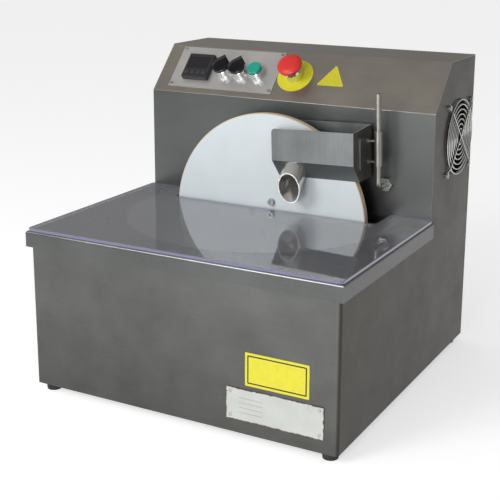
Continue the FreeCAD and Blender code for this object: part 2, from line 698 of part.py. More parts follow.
def make_tank_deck():
    """Flat deck with a turned-down rim, open where the bowl hangs in it."""
    piece = body("tank_deck")
    side = f"({HALF} + rim_overhang)"
    front = f"({FRONT} - rim_overhang)"
    block(piece, "XY", "rim_top - rim_drop", "rim_top", rectangle(f"-{side}", side, front, TOWER))
    rim = edges(piece, X_AXIS, y=front, z="rim_top")
    rim += edges(piece, Y_AXIS, x=side, z="rim_top") + edges(piece, Y_AXIS, x=f"-{side}", z="rim_top")
    fillet(piece, rim, "rim_radius")
    cut(piece, "XY", "rim_top - rim_drop - 1", DECK,
        rectangle(f"-{side} + skin", f"{side} - skin", f"{front} + skin", f"{TOWER} + 1"))
    inner = edges(piece, X_AXIS, y=f"{front} + skin", z=DECK)
    inner += edges(piece, Y_AXIS, x=f"{side} - skin", z=DECK)
    inner += edges(piece, Y_AXIS, x=f"-{side} + skin", z=DECK)
    fillet(piece, inner, "rim_radius - skin")
    cut(piece, "XY", f"{DECK} - 1", "rim_top + 1", d_outline("bowl_radius + skin", f"{TOWER} + 1"))


def make_tank_bowl():
    """D-shaped bowl welded into the deck; its flat back lies on the bulkhead."""
    piece = body("tank_bowl")
    outer_floor = f"{BOWL_FLOOR} - skin"
    block(piece, "XY", outer_floor, "rim_top", d_outline("bowl_radius + skin", TOWER))
    cut(piece, "XY", BOWL_FLOOR, "rim_top + 1", d_outline("bowl_radius", f"{TOWER} - skin"))
    fillet(piece, edges(piece, z=BOWL_FLOOR), "bowl_corner")
    fillet(piece, edges(piece, z=outer_floor), "bowl_corner + skin")
    cut(piece, "XZ", f"{TOWER} - 2 * skin", f"{TOWER} + 1", circle("0", "wheel_height", "bush_width"))


def d_outline(radius, back):
    """A half circle closed by two straight sides and a straight back."""
    def draw(sketch):
        r, centre, end = number(radius), number(BOWL_Y), number(back)
        first = sketch.GeometryCount
        middle = FreeCAD.Vector(0, centre, 0)
        round_part = Part.Circle(middle, FreeCAD.Vector(0, 0, 1), r)
        sketch.addGeometry(Part.ArcOfCircle(round_part, math.pi, 2 * math.pi))
        ends = [(r, centre), (r, end), (-r, end), (-r, centre)]
        points = [FreeCAD.Vector(x, y, 0) for x, y in ends]
        for start, stop in zip(points, points[1:]):
            sketch.addGeometry(Part.LineSegment(start, stop))
        for step in range(4):
            after = first + (step + 1) % 4
            sketch.addConstraint(Sketcher.Constraint("Coincident", first + step, 2, after, 1))
        sketch.addConstraint(Sketcher.Constraint("Vertical", first + 1))
        sketch.addConstraint(Sketcher.Constraint("Horizontal", first + 2))
        sketch.addConstraint(Sketcher.Constraint("Vertical", first + 3))
        sketch.addConstraint(Sketcher.Constraint("Horizontal", first, 1, first, 2))
        bind(sketch, "Radius", (first,), radius)
        bind(sketch, "DistanceX", (-1, 1, first, 3), "0")
        bind(sketch, "DistanceY", (-1, 1, first, 3), BOWL_Y)
        bind(sketch, "DistanceY", (-1, 1, first + 2, 1), back)
        sketch.addConstraint(Sketcher.Constraint("Horizontal", first, 3, first, 2))
    return draw


def make_lid():
    """Clear sheet over the deck, notched from the back round the wheel."""
    piece = body("lid")
    side = f"({HALF} + rim_overhang - lid_margin)"
    front = f"({FRONT} - rim_overhang + lid_margin)"
    back = f"({TOWER} - lid_tail_gap)"
    notch = f"({WHEEL_FACE} - lid_gap)"
    right, left = "(wheel_width / 2 + notch_right_gap)", "(-wheel_width / 2 - notch_left_gap)"
    outline = [(f"-{side}", front), (side, front), (side, back), (right, back), (right, notch),
               (left, notch), (left, back), (f"-{side}", back)]
    block(piece, "XY", "rim_top", "rim_top + lid_thickness", polygon(*outline))
    fillet(piece, edges(piece, Z_AXIS), "lid_corner")
    chamfer(piece, edges(piece, z="rim_top + lid_thickness", y=front, axis=X_AXIS), "0.6")


# ---------------------------------------------------------------- controls

def make_control_plate():
    piece = body("control_plate", **on_panel("0", "0"))
    left, right = PLATE_LEFT, f"{PLATE_LEFT} + plate_width"
    block(piece, "XY", "0", "plate_thickness",
          rectangle(left, right, "plate_up", "plate_up + plate_height"))
    half = "(controller_body / 2 + 0.2)"
    x, up = f"{left} + controller_in", "controller_up"
    window = rectangle(f"{x} - {half}", f"{x} + {half}", f"{up} - {half}", f"{up} + {half}")
    cut(piece, "XY", "-1", "plate_thickness + 1", window, *circles(device_places()[:3], "device_hole"),
        *circles(plate_screw_places(), "plate_screw_width + 2 * run_gap"))
    screws("plate_screws", on_panel("0", "0", "plate_thickness"), plate_screw_places(),
           "plate_screw_width * 1.8", "1.6", "plate_screw_width", "plate_thickness + 2 * skin", "1.6")


def make_temperature_controller():
    """Square panel instrument: bezel, window, four key holes and its case."""
    x = f"{PLATE_LEFT} + controller_in"
    piece = body("temperature_controller", **on_panel(x, "controller_up", "plate_thickness"))
    half, case = "controller_size / 2", "controller_body / 2"
    block(piece, "XY", "0", "controller_front", rectangle(f"-{half}", half, f"-{half}", half))
    uprights = []
    for side in ("-", ""):
        uprights += edges(piece, Z_AXIS, x=f"{side}{half}")
    fillet(piece, uprights, "2")
    face = piece.Tip.Shape
    rim = [name for name in edges(piece) if is_top(face, name, "controller_front")]
    fillet(piece, rim, "1.2")
    block(piece, "XY", "-controller_depth", "0", rectangle(f"-{case}", case, f"-{case}", case))
    wide, tall = "screen_width / 2", "screen_height / 2"
    cut(piece, "XY", "controller_front - 1.2", "controller_front + 1",
        rectangle(f"-{wide}", wide, f"screen_up - {tall}", f"screen_up + {tall}"))
    holes = [key_outline(step, "loose_gap") for step in range(4)]
    cut(piece, "XY", "controller_front - key_stem - key_travel - loose_gap", "controller_front + 1", *holes)
    screen = body("controller_screen", **on_panel(x, "controller_up", "plate_thickness"))
    block(screen, "XY", "controller_front - 1.2", "controller_front - 0.5",
          rectangle(f"-{wide}", wide, f"screen_up - {tall}", f"screen_up + {tall}"))


def is_top(shape, name, height):
    """True for an edge that lies wholly at the given local height."""
    box = shape.getElement(name).BoundBox
    level = number(height)
    return abs(box.ZMin - level) < 0.01 and abs(box.ZMax - level) < 0.01


def key_outline(step, grow="0"):
    """Key number 0 to 3, from the left."""
    x = f"({step} - 1.5) * key_pitch"
    wide, tall = f"(key_width / 2 + {grow})", f"(key_height / 2 + {grow})"
    return rectangle(f"{x} - {wide}", f"{x} + {wide}", f"-key_down - {tall}", f"-key_down + {tall}")


def make_controller_keys():
    x = f"{PLATE_LEFT} + controller_in"
    for step in range(4):
        piece = body(f"controller_key_{step + 1}", **on_panel(x, "controller_up", "plate_thickness"))
        block(piece, "XY", "controller_front - key_stem", "controller_front + key_stand", key_outline(step))
        face = piece.Tip.Shape
        top = [name for name in edges(piece) if is_top(face, name, "controller_front + key_stand")]
        fillet(piece, top, "0.5")


def bezel_outline(height, recess):
    """Half section of a chrome bezel on its threaded neck."""
    neck, bore, out = "neck_width / 2", "neck_bore / 2", "bezel_width / 2"
    return polygon((bore, "-neck_length"), (neck, "-neck_length"), (neck, "0"), (out, "0"),
                   (out, "2"), (f"{out} - 1", f"{height} - 1"), (f"{out} - 2", height),
                   ("bezel_bore / 2", height), ("bezel_bore / 2", recess), (bore, recess))


def make_selectors():
    """Two rotary selectors, each a bezel and a handle on a round skirt."""
    for label, place_xy in zip(("left", "right"), device_places()):
        x, up = place_xy
        bezel = body(f"selector_bezel_{label}", **on_panel(x, up, "plate_thickness"))
        turned(bezel, bezel_outline("bezel_height", "bezel_height - 4"))
        knob = body(f"selector_knob_{label}", **on_panel(x, up, "plate_thickness"))
        stem = "neck_bore / 2 - run_gap"
        skirt = "bezel_height + loose_gap"
        turned(knob, polygon(("0", "-stem_length"), (stem, "-stem_length"), (stem, skirt),
                             ("knob_skirt_width / 2", skirt),
                             ("knob_skirt_width / 2", f"{skirt} + knob_skirt - 1"),
                             ("knob_skirt_width / 2 - 1", f"{skirt} + knob_skirt"),
                             ("0", f"{skirt} + knob_skirt")))
        add_handle(knob, f"{skirt} + knob_skirt - 1")


def add_handle(knob, low):
    """Grip with sloping sides, level from its axis to the tip and falling to the tail."""
    turn = (Y_AXIS, "handle_turn")
    section = polygon(("-handle_foot / 2", low), ("handle_foot / 2", low),
                      ("handle_width / 2", "knob_top"), ("-handle_width / 2", "knob_top"))
    for reach, towards in (("handle_tip", 1), ("handle_tail", -1)):
        extrude("Pad", knob, sketch_on(knob, "YZ", "0", section, turn=turn), reach, towards)
    face = knob.Tip.Shape
    top = [name for name in edges(knob) if is_top(face, name, "knob_top")]
    chamfer(knob, top, "0.8")
    over = "knob_top + 1"
    wedge = polygon(("0", "knob_top"), ("0", over), ("-handle_tail - 1", over),
                    ("-handle_tail - 1", "knob_top - handle_drop"))
    both_sides("Pocket", knob, sketch_on(knob, "XZ", "0", wedge, turn=turn), "2 * handle_foot")


def make_start_button():
    x, up = device_places()[2]
    bezel = body("start_bezel", **on_panel(x, up, "plate_thickness"))
    turned(bezel, bezel_outline("bezel_height", "bezel_height - 8"))
    cap = body("start_button", **on_panel(x, up, "plate_thickness"))
    stem, head = "neck_bore / 2 - run_gap", "bezel_bore / 2 - loose_gap"
    under = "bezel_height - 8 + button_travel + loose_gap"
    turned(cap, polygon(("0", "-stem_length"), (stem, "-stem_length"), (stem, under), (head, under),
                        (head, "button_top - 1"), (f"{head} - 1", "button_top"), ("0", "button_top")))


def make_emergency_stop():
    """Yellow ring, collar on its neck, sliding stem and mushroom head."""
    x, up = device_places()[3]
    ring = body("estop_ring", **on_panel(x, up))
    block(ring, "XY", "0", "ring_thickness", circle("0", "0", "ring_width"))
    cut(ring, "XY", "-1", "ring_thickness + 1", circle("0", "0", "device_hole"))
    where = on_panel(x, up, "ring_thickness")
    collar = body("estop_collar", **where)
    neck, bore, out = "neck_width / 2", "neck_bore / 2", "bezel_width / 2"
    turned(collar, polygon((bore, "-neck_length"), (neck, "-neck_length"), (neck, "0"), (out, "0"),
                           (out, "estop_collar_height - 3"), (f"{out} - 1.5", "estop_collar_height"),
                           (bore, "estop_collar_height")))
    stem = body("estop_stem", **where)
    turned(stem, polygon(("0", "-stem_length"), (f"{bore} - run_gap", "-stem_length"),
                         (f"{bore} - run_gap", "estop_head_low - 1"), ("0", "estop_head_low - 1")))
    head = body("estop_head", **where)
    edge = "estop_head_width / 2"
    low, side = "estop_head_low", "(estop_head_low + estop_skirt)"
    turned(head, polygon(("0", f"{low} - 1"), (f"{bore} + 1", f"{low} - 1"), (f"{bore} + 1", f"{low} + 2"),
                         (f"{edge} - 2.5", f"{low} + 2.5"), (f"{edge} - 2", low), (f"{edge} - 0.8", low),
                         (edge, f"{low} + 1.5"), (edge, f"{side} - 1.5"), (f"{edge} - 1.5", side),
                         (f"{edge} * 0.72", f"{side} + estop_dome * 0.62"),
                         (f"{edge} * 0.38", f"{side} + estop_dome * 0.93"), ("0", f"{side} + estop_dome")))


def make_contact_blocks():
    """Contact blocks clamped behind the panel on the four necks."""
    piece = body("contact_blocks", **on_panel("0", "0"))
    wide, tall = "block_width / 2", "block_height / 2"
    boxes = [rectangle(f"{x} - {wide}", f"{x} + {wide}", f"{y} - {tall}", f"{y} + {tall}")
             for x, y in device_places()]
    block(piece, "XY", "-skin - block_length", "-skin", *boxes)
    cut(piece, "XY", "-skin - neck_length - 1", "-skin",
        *circles(device_places(), "neck_width + 2 * run_gap"))


# ---------------------------------------------------------------- fan

def fan_place():
    return facing_right(HALF, f"{BACK} - fan_back", "fan_z")


def fan_corners():
    return both_ways("fan_pitch / 2", "fan_pitch / 2")


def make_fan_frame():
    """Square fan frame behind the side sheet, with its motor on four arms."""
    piece = body("fan_frame", **fan_place())
    half = "fan_size / 2"
    back = "(-skin - fan_depth)"
    block(piece, "XY", back, "-skin", rectangle(f"-{half}", half, f"-{half}", half))
    corners = []
    for side in ("-", ""):
        corners += edges(piece, Z_AXIS, x=f"{side}{half}")
    fillet(piece, corners, "5")
    cut(piece, "XY", f"{back} - 1", "0", circle("0", "0", "fan_bore"),
        *circles(fan_corners(), "fan_screw_width + 2 * run_gap"))
    arm, reach = "3", "(fan_bore / 2 + 1)"
    block(piece, "XY", back, f"{back} + 4", rectangle(f"-{reach}", reach, f"-{arm}", arm))
    block(piece, "XY", back, f"{back} + 4", rectangle(f"-{arm}", arm, f"-{reach}", reach))
    block(piece, "XY", back, f"{back} + 4", circle("0", "0", "fan_hub"))
    block(piece, "XY", f"{back} + 4", f"{back} + 18", circle("0", "0", "12"))


def make_fan_rotor():
    """Hub cup with seven curved blades."""
    piece = body("fan_rotor", **fan_place())
    back = "(-skin - fan_depth)"
    low, high = f"{back} + 4.5", "-skin - 5"
    block(piece, "XY", low, high, circle("0", "0", "fan_hub"))
    cut(piece, "XY", f"{low} - 1", f"{back} + 19", circle("0", "0", "12 + 2 * run_gap"))
    root, tip = "fan_hub / 2 - 1", "blade_reach"
    curve = [("-17", f"{low} + 1"), ("-6", f"{low} + 7"), ("5", f"{low} + 16"), ("11", f"{high} - 1"),
             ("12.6", f"{high} - 1.6"), ("6.4", f"{low} + 15"), ("-5", f"{low} + 5.2"),
             ("-16", f"{low} + 0.2")]
    blade = block(piece, "YZ", root, tip, polygon(*curve))
    pattern = piece.newObject("PartDesign::PolarPattern", "fan_rotor_blades")
    pattern.Originals = [blade]
    for feature in piece.Origin.OriginFeatures:
        if feature.Role == "Z_Axis":
            pattern.Axis = (feature, [""])
    pattern.Angle = 360
    pattern.Occurrences = 7
    piece.Tip = pattern
    settle(pattern)


def make_fan_guard():
    """Wire rings under a cross of two wires that bend down to a foot at each screw."""
    piece = body("fan_guard", **fan_place())
    rings = []
    for step in range(round(number("guard_rings"))):
        rings.append(hexagon(f"guard_ring - {step} * guard_ring_step", "guard_stand", "guard_wire"))
    turned(piece, *rings)
    over = "(guard_stand + guard_wire * 1.3)"
    under = f"({over} - guard_wire)"
    foot, toe = "(fan_pitch / sqrt(2) + guard_eye / 3)", "(fan_pitch / sqrt(2) - guard_eye / 2)"
    knee = "(guard_ring + guard_wire)"
    across = [(foot, "0"), (foot, "guard_wire"), (toe, "guard_wire"), (knee, over)]
    back = [(knee, under), (toe, "0")]
    outline = across + [(f"-{x}", z) for x, z in reversed(across)]
    outline += [(f"-{x}", z) for x, z in reversed(back)] + back
    for angle in ("45", "-45"):
        sketch = sketch_on(piece, "XZ", "0", polygon(*outline), turn=(Y_AXIS, angle))
        both_sides("Pad", piece, sketch, "guard_wire")
    block(piece, "XY", "0", "guard_wire", *circles(fan_corners(), "guard_eye"))
    cut(piece, "XY", "guard_wire", "2 * guard_stand", *circles(fan_corners(), "guard_eye + 1"))
    cut(piece, "XY", "-1", "2 * guard_stand", *circles(fan_corners(), "fan_screw_width + 2 * run_gap"))
    screws("fan_screws", facing_right(f"{HALF} + guard_wire", f"{BACK} - fan_back", "fan_z"), fan_corners(),
           "fan_screw_width * 1.9", "2.4", "fan_screw_width", "fan_depth + 6", "2.5")


# ---------------------------------------------------------------- wheel and drive

def bolt_places():
    """Four wheel screws on their pitch circle."""
    places = []
    for step in range(4):
        angle = f"(bolt_phase + {90 * step})"
        places.append((f"bolt_circle / 2 * cos({angle})", f"bolt_circle / 2 * sin({angle})"))
    return places


def make_wheel():
    wheel = body("tempering_wheel", **facing_front("0", WHEEL_REAR, "wheel_height"))
    block(wheel, "XY", "0", "wheel_thickness", circle("0", "0", "wheel_width"))
    chamfer(wheel, edges(wheel, arcs=True), "wheel_edge")
    cut(wheel, "XY", "-1", "wheel_thickness + 1", circle("0", "0", "shaft_width"),
        *circles(bolt_places(), "wheel_screw_width + 2 * run_gap"))
    hub = body("wheel_hub", **facing_front("0", WHEEL_REAR, "wheel_height"))
    block(hub, "XY", "-hub_flange", "0", circle("0", "0", "hub_width"))
    block(hub, "XY", "-hub_flange - hub_boss", "-hub_flange", circle("0", "0", "hub_boss_width"))
    cut(hub, "XY", "-hub_flange - hub_boss - 1", "1", circle("0", "0", "shaft_width"))
    cut(hub, "XY", "-hub_flange + 1", "1", *circles(bolt_places(), "wheel_screw_width + 2 * run_gap"))
    bolts = body("wheel_screws", **facing_front("0", WHEEL_FACE, "wheel_height"))
    width = "wheel_screw_width"
    proud = "wheel_washer + wheel_screw_head"
    block(bolts, "XY", "0", "wheel_washer", *circles(bolt_places(), f"{width} * 2"))
    block(bolts, "XY", "wheel_washer", proud, *circles(bolt_places(), f"{width} * 5 / 3"))
    block(bolts, "XY", "-wheel_thickness - hub_flange + 2", "0", *circles(bolt_places(), width))
    sockets = [hexagon(x, y, f"{width} * 5 / 6") for x, y in bolt_places()]
    cut(bolts, "XY", f"{proud} - wheel_screw_head * 0.7", proud, *sockets)


def make_drive_shaft():
    piece = body("drive_shaft", **facing_front("0", GEARBOX, "wheel_height"))
    front = f"{GEARBOX} - {WHEEL_FACE} - 1"
    block(piece, "XY", "-gearbox_depth - 2", front, circle("0", "0", "shaft_width"))
    chamfer(piece, edges(piece, z=front, arcs=True), "1")


def make_shaft_bush():
    """Flanged bush through the bowl's rear wall and the bulkhead, seal and nut."""
    bush = body("shaft_bush", **facing_front("0", f"{TOWER} - skin", "wheel_height"))
    bore, barrel = "shaft_width / 2 + run_gap", "bush_width / 2"
    end = "-bush_reach - 2 * skin"
    turned(bush, polygon((bore, end), (barrel, end), (barrel, "0"), ("bush_flange_width / 2", "0"),
                         ("bush_flange_width / 2", "bush_flange"), ("seal_width / 2", "bush_flange"),
                         ("seal_width / 2", "bush_flange - seal_depth"),
                         (bore, "bush_flange - seal_depth")))
    seal = body("shaft_seal", **facing_front("0", f"{TOWER} - skin", "wheel_height"))
    turned(seal, polygon((bore, "bush_flange - seal_depth"), ("seal_width / 2", "bush_flange - seal_depth"),
                         ("seal_width / 2", "bush_flange"), (f"{bore} + 2", "bush_flange"),
                         (bore, "bush_flange - seal_depth + 1")))
    nut = body("bush_nut", **facing_front("0", BULKHEAD, "wheel_height"))
    block(nut, "XY", "-6", "0", hexagon("0", "0", "bush_width + 10"))
    cut(nut, "XY", "-7", "1", circle("0", "0", "bush_width"))


def make_gearbox():
    """Right-angle worm gearbox with a hollow output and a motor flange on its left."""
    piece = body("gearbox", **facing_front("0", GEARBOX, "wheel_height"))
    back, half = "-gearbox_depth", "gearbox_width / 2"
    block(piece, "XY", back, "0", circle("0", "0", "gearbox_width"))
    top = "worm_offset + 22"
    block(piece, "XY", f"{back} + 8", "-8", rectangle(f"-{half}", half, "0", top))
    worm_z = f"{back} / 2"
    block(piece, "YZ", f"-{half} - 10", f"-{half}", circle("worm_offset", worm_z, "motor_width * 0.95"))
    cut(piece, "XY", f"{back} - 1", "1", circle("0", "0", "shaft_width + 2 * run_gap"))
    spacers = body("gearbox_spacers", **facing_front("0", GEARBOX, "wheel_height"))
    block(spacers, "XY", "0", "gearbox_gap", *circles(both_ways("spacer_circle / 2 * 0.7071",
                                                            "spacer_circle / 2 * 0.7071"), "spacer_width"))
    motor = body("drive_motor", **facing_front("0", GEARBOX, "wheel_height"))
    start = f"-{half} - 10"
    block(motor, "YZ", f"{start} - motor_length", start, circle("worm_offset", worm_z, "motor_width"))
    block(motor, "YZ", f"{start} - motor_length * 0.75", f"{start} - motor_length * 0.3",
          rectangle("worm_offset", "worm_offset + motor_width / 2 + 22", f"{worm_z} - 28", f"{worm_z} + 28"))


# ---------------------------------------------------------------- scraper

def chute_inside(y):
    """Height of the chute's inner face at local y."""
    return f"box_fold + (box_sheet - ({y} - {BOX_FRONT}) * sin(chute_angle)) / cos(chute_angle)"


def make_scraper_box():
    """Folded trough that straddles the wheel; open at the top and the left."""
    piece = body("scraper_box", **on_rod())
    outside = [(BOX_FRONT, "box_top_front"), (BOX_FRONT, "box_fold"), (CHUTE_END, BOX_FLOOR),
               (BOX_BACK, BOX_FLOOR), (BOX_BACK, "box_top_back")]
    inside_floor = f"{BOX_FLOOR} + box_sheet"
    corner = f"{BOX_FRONT} + (box_sheet - ({inside_floor} - box_fold) * cos(chute_angle)) / sin(chute_angle)"
    inside = [(f"{BOX_BACK} - box_sheet", "box_top_back"), (f"{BOX_BACK} - box_sheet", inside_floor),
              (corner, inside_floor), (f"{BOX_FRONT} + box_sheet", chute_inside(f"{BOX_FRONT} + box_sheet")),
              (f"{BOX_FRONT} + box_sheet", "box_top_front")]
    block(piece, "YZ", BOX_LEFT, BOX_RIGHT, polygon(*outside, *inside))
    block(piece, "YZ", f"{BOX_RIGHT} - box_sheet", BOX_RIGHT, polygon(*outside))
    slot = rectangle(f"{BOX_LEFT} - 1", f"{BOX_RIGHT} - box_sheet - slot_end",
                     CHUTE_END, f"{REAR} + scrape_gap")
    cut(piece, "XY", f"{BOX_FLOOR} - 1", f"{BOX_FLOOR} + box_sheet + 1", slot)
    free = edges(piece, Y_AXIS, x=BOX_LEFT, z="box_top_front")
    fillet(piece, free, "box_corner")
    sketch = spout_sketch(piece, "spout_width - 2 * spout_wall")
    extrude("Pocket", piece, sketch, "4 * box_sheet", 1)


SPOUT_ROOT_Y = f"({BOX_FRONT} + {CHUTE_END}) / 2"
SPOUT_ROOT_Z = f"(box_fold + {BOX_FLOOR}) / 2"


def spout_sketch(piece, *widths, down="0"):
    """Circles square to the spout's axis, the given way down from its root."""
    y = f"{SPOUT_ROOT_Y} - ({down}) * cos(spout_angle)"
    z = f"{SPOUT_ROOT_Z} - ({down}) * sin(spout_angle)"
    outlines = [circle(SPOUT_X, "0", width) for width in widths]
    return tilted_sketch(piece, y, z, "spout_angle - 90", *outlines)


def make_spout():
    """Tube cut to seat on the sloping underside, its mouth cut nearly upright."""
    piece = body("scraper_spout", **on_rod())
    spare = "spout_width * 2"
    sketch = spout_sketch(piece, "spout_width", down=f"spout_reach + {spare}")
    extrude("Pad", piece, sketch, f"spout_reach + 2 * {spare}", 1)
    bore = spout_sketch(piece, "spout_width - 2 * spout_wall", down=f"spout_reach + {spare}")
    extrude("Pocket", piece, bore, f"spout_reach + 2 * {spare}", 1)
    far = "200"
    slope = (f"{BOX_FRONT} - {far} * cos(chute_angle)", f"box_fold + {far} * sin(chute_angle)")
    foot = (f"{BOX_FRONT} + {far} * cos(chute_angle)", f"box_fold - {far} * sin(chute_angle)")
    above = polygon(slope, foot, (f"{foot[0]} + {far}", f"{foot[1]} + {far}"),
                    (f"{slope[0]} + {far}", f"{slope[1]} + {far}"))
    side = "spout_width"
    cut(piece, "YZ", f"{SPOUT_X} - {side}", f"{SPOUT_X} + {side}", above)
    mouth_y = f"({SPOUT_ROOT_Y} - spout_reach * cos(spout_angle))"
    mouth_z = f"({SPOUT_ROOT_Z} - spout_reach * sin(spout_angle))"
    high = (f"{mouth_y} - {far} * sin(spout_cut)", f"{mouth_z} + {far} * cos(spout_cut)")
    low = (f"{mouth_y} + {far} * sin(spout_cut)", f"{mouth_z} - {far} * cos(spout_cut)")
    beyond = polygon(high, low, (f"{low[0]} - {far}", low[1]), (f"{high[0]} - {far}", high[1]))
    cut(piece, "YZ", f"{SPOUT_X} - {side}", f"{SPOUT_X} + {side}", beyond)


def make_wiper_blades():
    """Two plastic blades in the box, either side of the wheel."""
    piece = body("wiper_blades", **on_rod())
    top = f"{BOX_FLOOR} + blade_height"
    front = f"({CHUTE_END} - blade_thickness)"
    fore = polygon((front, chute_inside(front)), (CHUTE_END, chute_inside(CHUTE_END)),
                   (CHUTE_END, top), (front, top))
    back = f"({REAR} + scrape_gap)"
    aft = rectangle(back, f"{back} + blade_thickness", f"{BOX_FLOOR} + box_sheet", top)
    block(piece, "YZ", f"{BOX_LEFT} + 2", f"{BOX_RIGHT} - box_sheet", fore, aft)


def stud_places():
    return [("0", "stud_low"), ("0", "stud_low + stud_pitch")]


def make_clamp():
    """Plate on the box's end, two studs to the sleeve and their nuts."""
    plate = body("clamp_plate", **on_rod())
    outer = f"{BOX_RIGHT} + box_sheet"
    block(plate, "YZ", BOX_RIGHT, outer,
          rectangle("-clamp_plate_fore", "clamp_plate_depth - clamp_plate_fore",
                    "clamp_plate_low", "clamp_plate_low + clamp_plate_height"))
    corners = edges(plate, X_AXIS)
    fillet(plate, corners, "3")
    cut(plate, "YZ", f"{BOX_RIGHT} - 1", f"{outer} + 1", *circles(stud_places(), "stud_width + 2 * run_gap"))
    studs = body("clamp_studs", **on_rod())
    block(studs, "YZ", BOX_RIGHT, "0", *circles(stud_places(), "stud_width"))
    cut(studs, "XY", "stud_low - stud_width", "stud_low + stud_pitch + stud_width",
        circle("0", "0", "sleeve_width"))
    nuts = body("stud_nuts", **on_rod())
    block(nuts, "YZ", outer, f"{outer} + stud_nut_thickness",
          *[hexagon(y, z, "stud_nut_width") for y, z in stud_places()])
    cut(nuts, "YZ", f"{outer} - 1", f"{outer} + stud_nut_thickness + 1",
        *circles(stud_places(), "stud_width + 2 * run_gap"))


def make_sleeve():
    """Sleeve that slides on the rod, locked by a set screw."""
    piece = body("rod_sleeve", **on_rod())
    top = "sleeve_low + sleeve_length"
    block(piece, "XY", "sleeve_low", top, circle("0", "0", "sleeve_width"))
    cut(piece, "XY", "sleeve_low - 1", f"{top} + 1", circle("0", "0", "rod_width + 2 * run_gap"))
    height = "sleeve_low + sleeve_screw_up"
    turn = (Y_AXIS, "sleeve_screw_turn")
    hole = sketch_on(piece, "XZ", "0", circle("0", height, "sleeve_screw_width"), turn=turn)
    extrude("Pocket", piece, hole, "sleeve_width", -1)
    screw = body("sleeve_screw", **on_rod())
    shank = sketch_on(screw, "XZ", "0", circle("0", height, "sleeve_screw_width"), turn=turn)
    extrude("Pad", screw, shank, "sleeve_width / 2 - 0.4", -1)
    cut(screw, "XY", f"{height} - sleeve_screw_width", f"{height} + sleeve_screw_width",
        circle("0", "0", "rod_width + 2 * run_gap"))


def make_support_rod():
    """L-shaped rod: one leg through the tower's front, the other upright."""
    piece = body("support_rod", **on_rod())
    profile = sketch_on(piece, "XY", "rod_height", circle("0", "0", "rod_width"))
    spine = sketch_on(piece, "YZ", "0", rod_spine)
    pipe = piece.newObject("PartDesign::AdditivePipe", "support_rod_pipe")
    pipe.Profile = profile
    pipe.Spine = spine
    settle(pipe)
    chamfer(piece, edges(piece, z="rod_height", arcs=True), "1")


def rod_spine(sketch):
    """Centre line of the rod: down, round the bend and back."""
    height, bend = number("rod_height"), number("rod_bend")
    tail = "rod_reach + skin + rod_tail"
    down = Part.LineSegment(FreeCAD.Vector(0, height, 0), FreeCAD.Vector(0, bend, 0))
    round_part = Part.Circle(FreeCAD.Vector(bend, bend, 0), FreeCAD.Vector(0, 0, 1), bend)
    level = Part.LineSegment(FreeCAD.Vector(bend, 0, 0), FreeCAD.Vector(number(tail), 0, 0))
    sketch.addGeometry(down)
    sketch.addGeometry(Part.ArcOfCircle(round_part, math.pi, 1.5 * math.pi))
    sketch.addGeometry(level)
    sketch.addConstraint(Sketcher.Constraint("Tangent", 0, 2, 1, 1))
    sketch.addConstraint(Sketcher.Constraint("Tangent", 1, 2, 2, 1))
    bind(sketch, "DistanceX", (-1, 1, 0, 1), "0")
    bind(sketch, "DistanceY", (-1, 1, 0, 1), "rod_height")
    sketch.addConstraint(Sketcher.Constraint("Vertical", 0))
    sketch.addConstraint(Sketcher.Constraint("Horizontal", 2))
    bind(sketch, "Radius", (1,), "rod_bend")
    bind(sketch, "DistanceX", (-1, 1, 2, 2), tail)
    bind(sketch, "DistanceY", (-1, 1, 2, 2), "0")


def make_rod_nuts():
    """Nut and ferrule outside the tower's front, locknut inside."""
    nut = body("rod_nut", **facing_front("rod_x", TOWER, ROD_Z))
    block(nut, "XY", "0", "nut_thickness", hexagon("0", "0", "nut_width"))
    block(nut, "XY", "nut_thickness", "nut_thickness + collar_length", circle("0", "0", "collar_width"))
    cut(nut, "XY", "-1", "nut_thickness + collar_length + 1", circle("0", "0", "rod_width"))
    locknut = body("rod_locknut", **facing_front("rod_x", BULKHEAD, ROD_Z))
    block(locknut, "XY", "-nut_thickness", "0", hexagon("0", "0", "nut_width"))
    cut(locknut, "XY", "-nut_thickness - 1", "1", circle("0", "0", "rod_width"))


# ---------------------------------------------------------------- heating and power

def make_heating():
    """Disc heater under the bowl's floor and a sensor boss beside it."""
    under = f"({BOWL_FLOOR} - skin)"
    y = f"({BOWL_Y} - heater_fore)"
    heater = body("bowl_heater")
    block(heater, "XY", f"{under} - heater_thickness", under, circle("0", y, "heater_width"))
    posts = circles([("-2 * heater_post_width", y), ("2 * heater_post_width", y)], "heater_post_width")
    plate_back = f"{under} - heater_thickness"
    block(heater, "XY", f"{plate_back} - heater_post", plate_back, *posts)
    probe = body("temperature_probe")
    spot = ("heater_width / 2 - 20", f"{BOWL_Y} + 25")
    block(probe, "XY", f"{under} - probe_boss", under, hexagon(*spot, "probe_boss_width"))
    block(probe, "XY", f"{under} - probe_boss - probe_length", f"{under} - probe_boss",
          circle(*spot, "probe_width"))


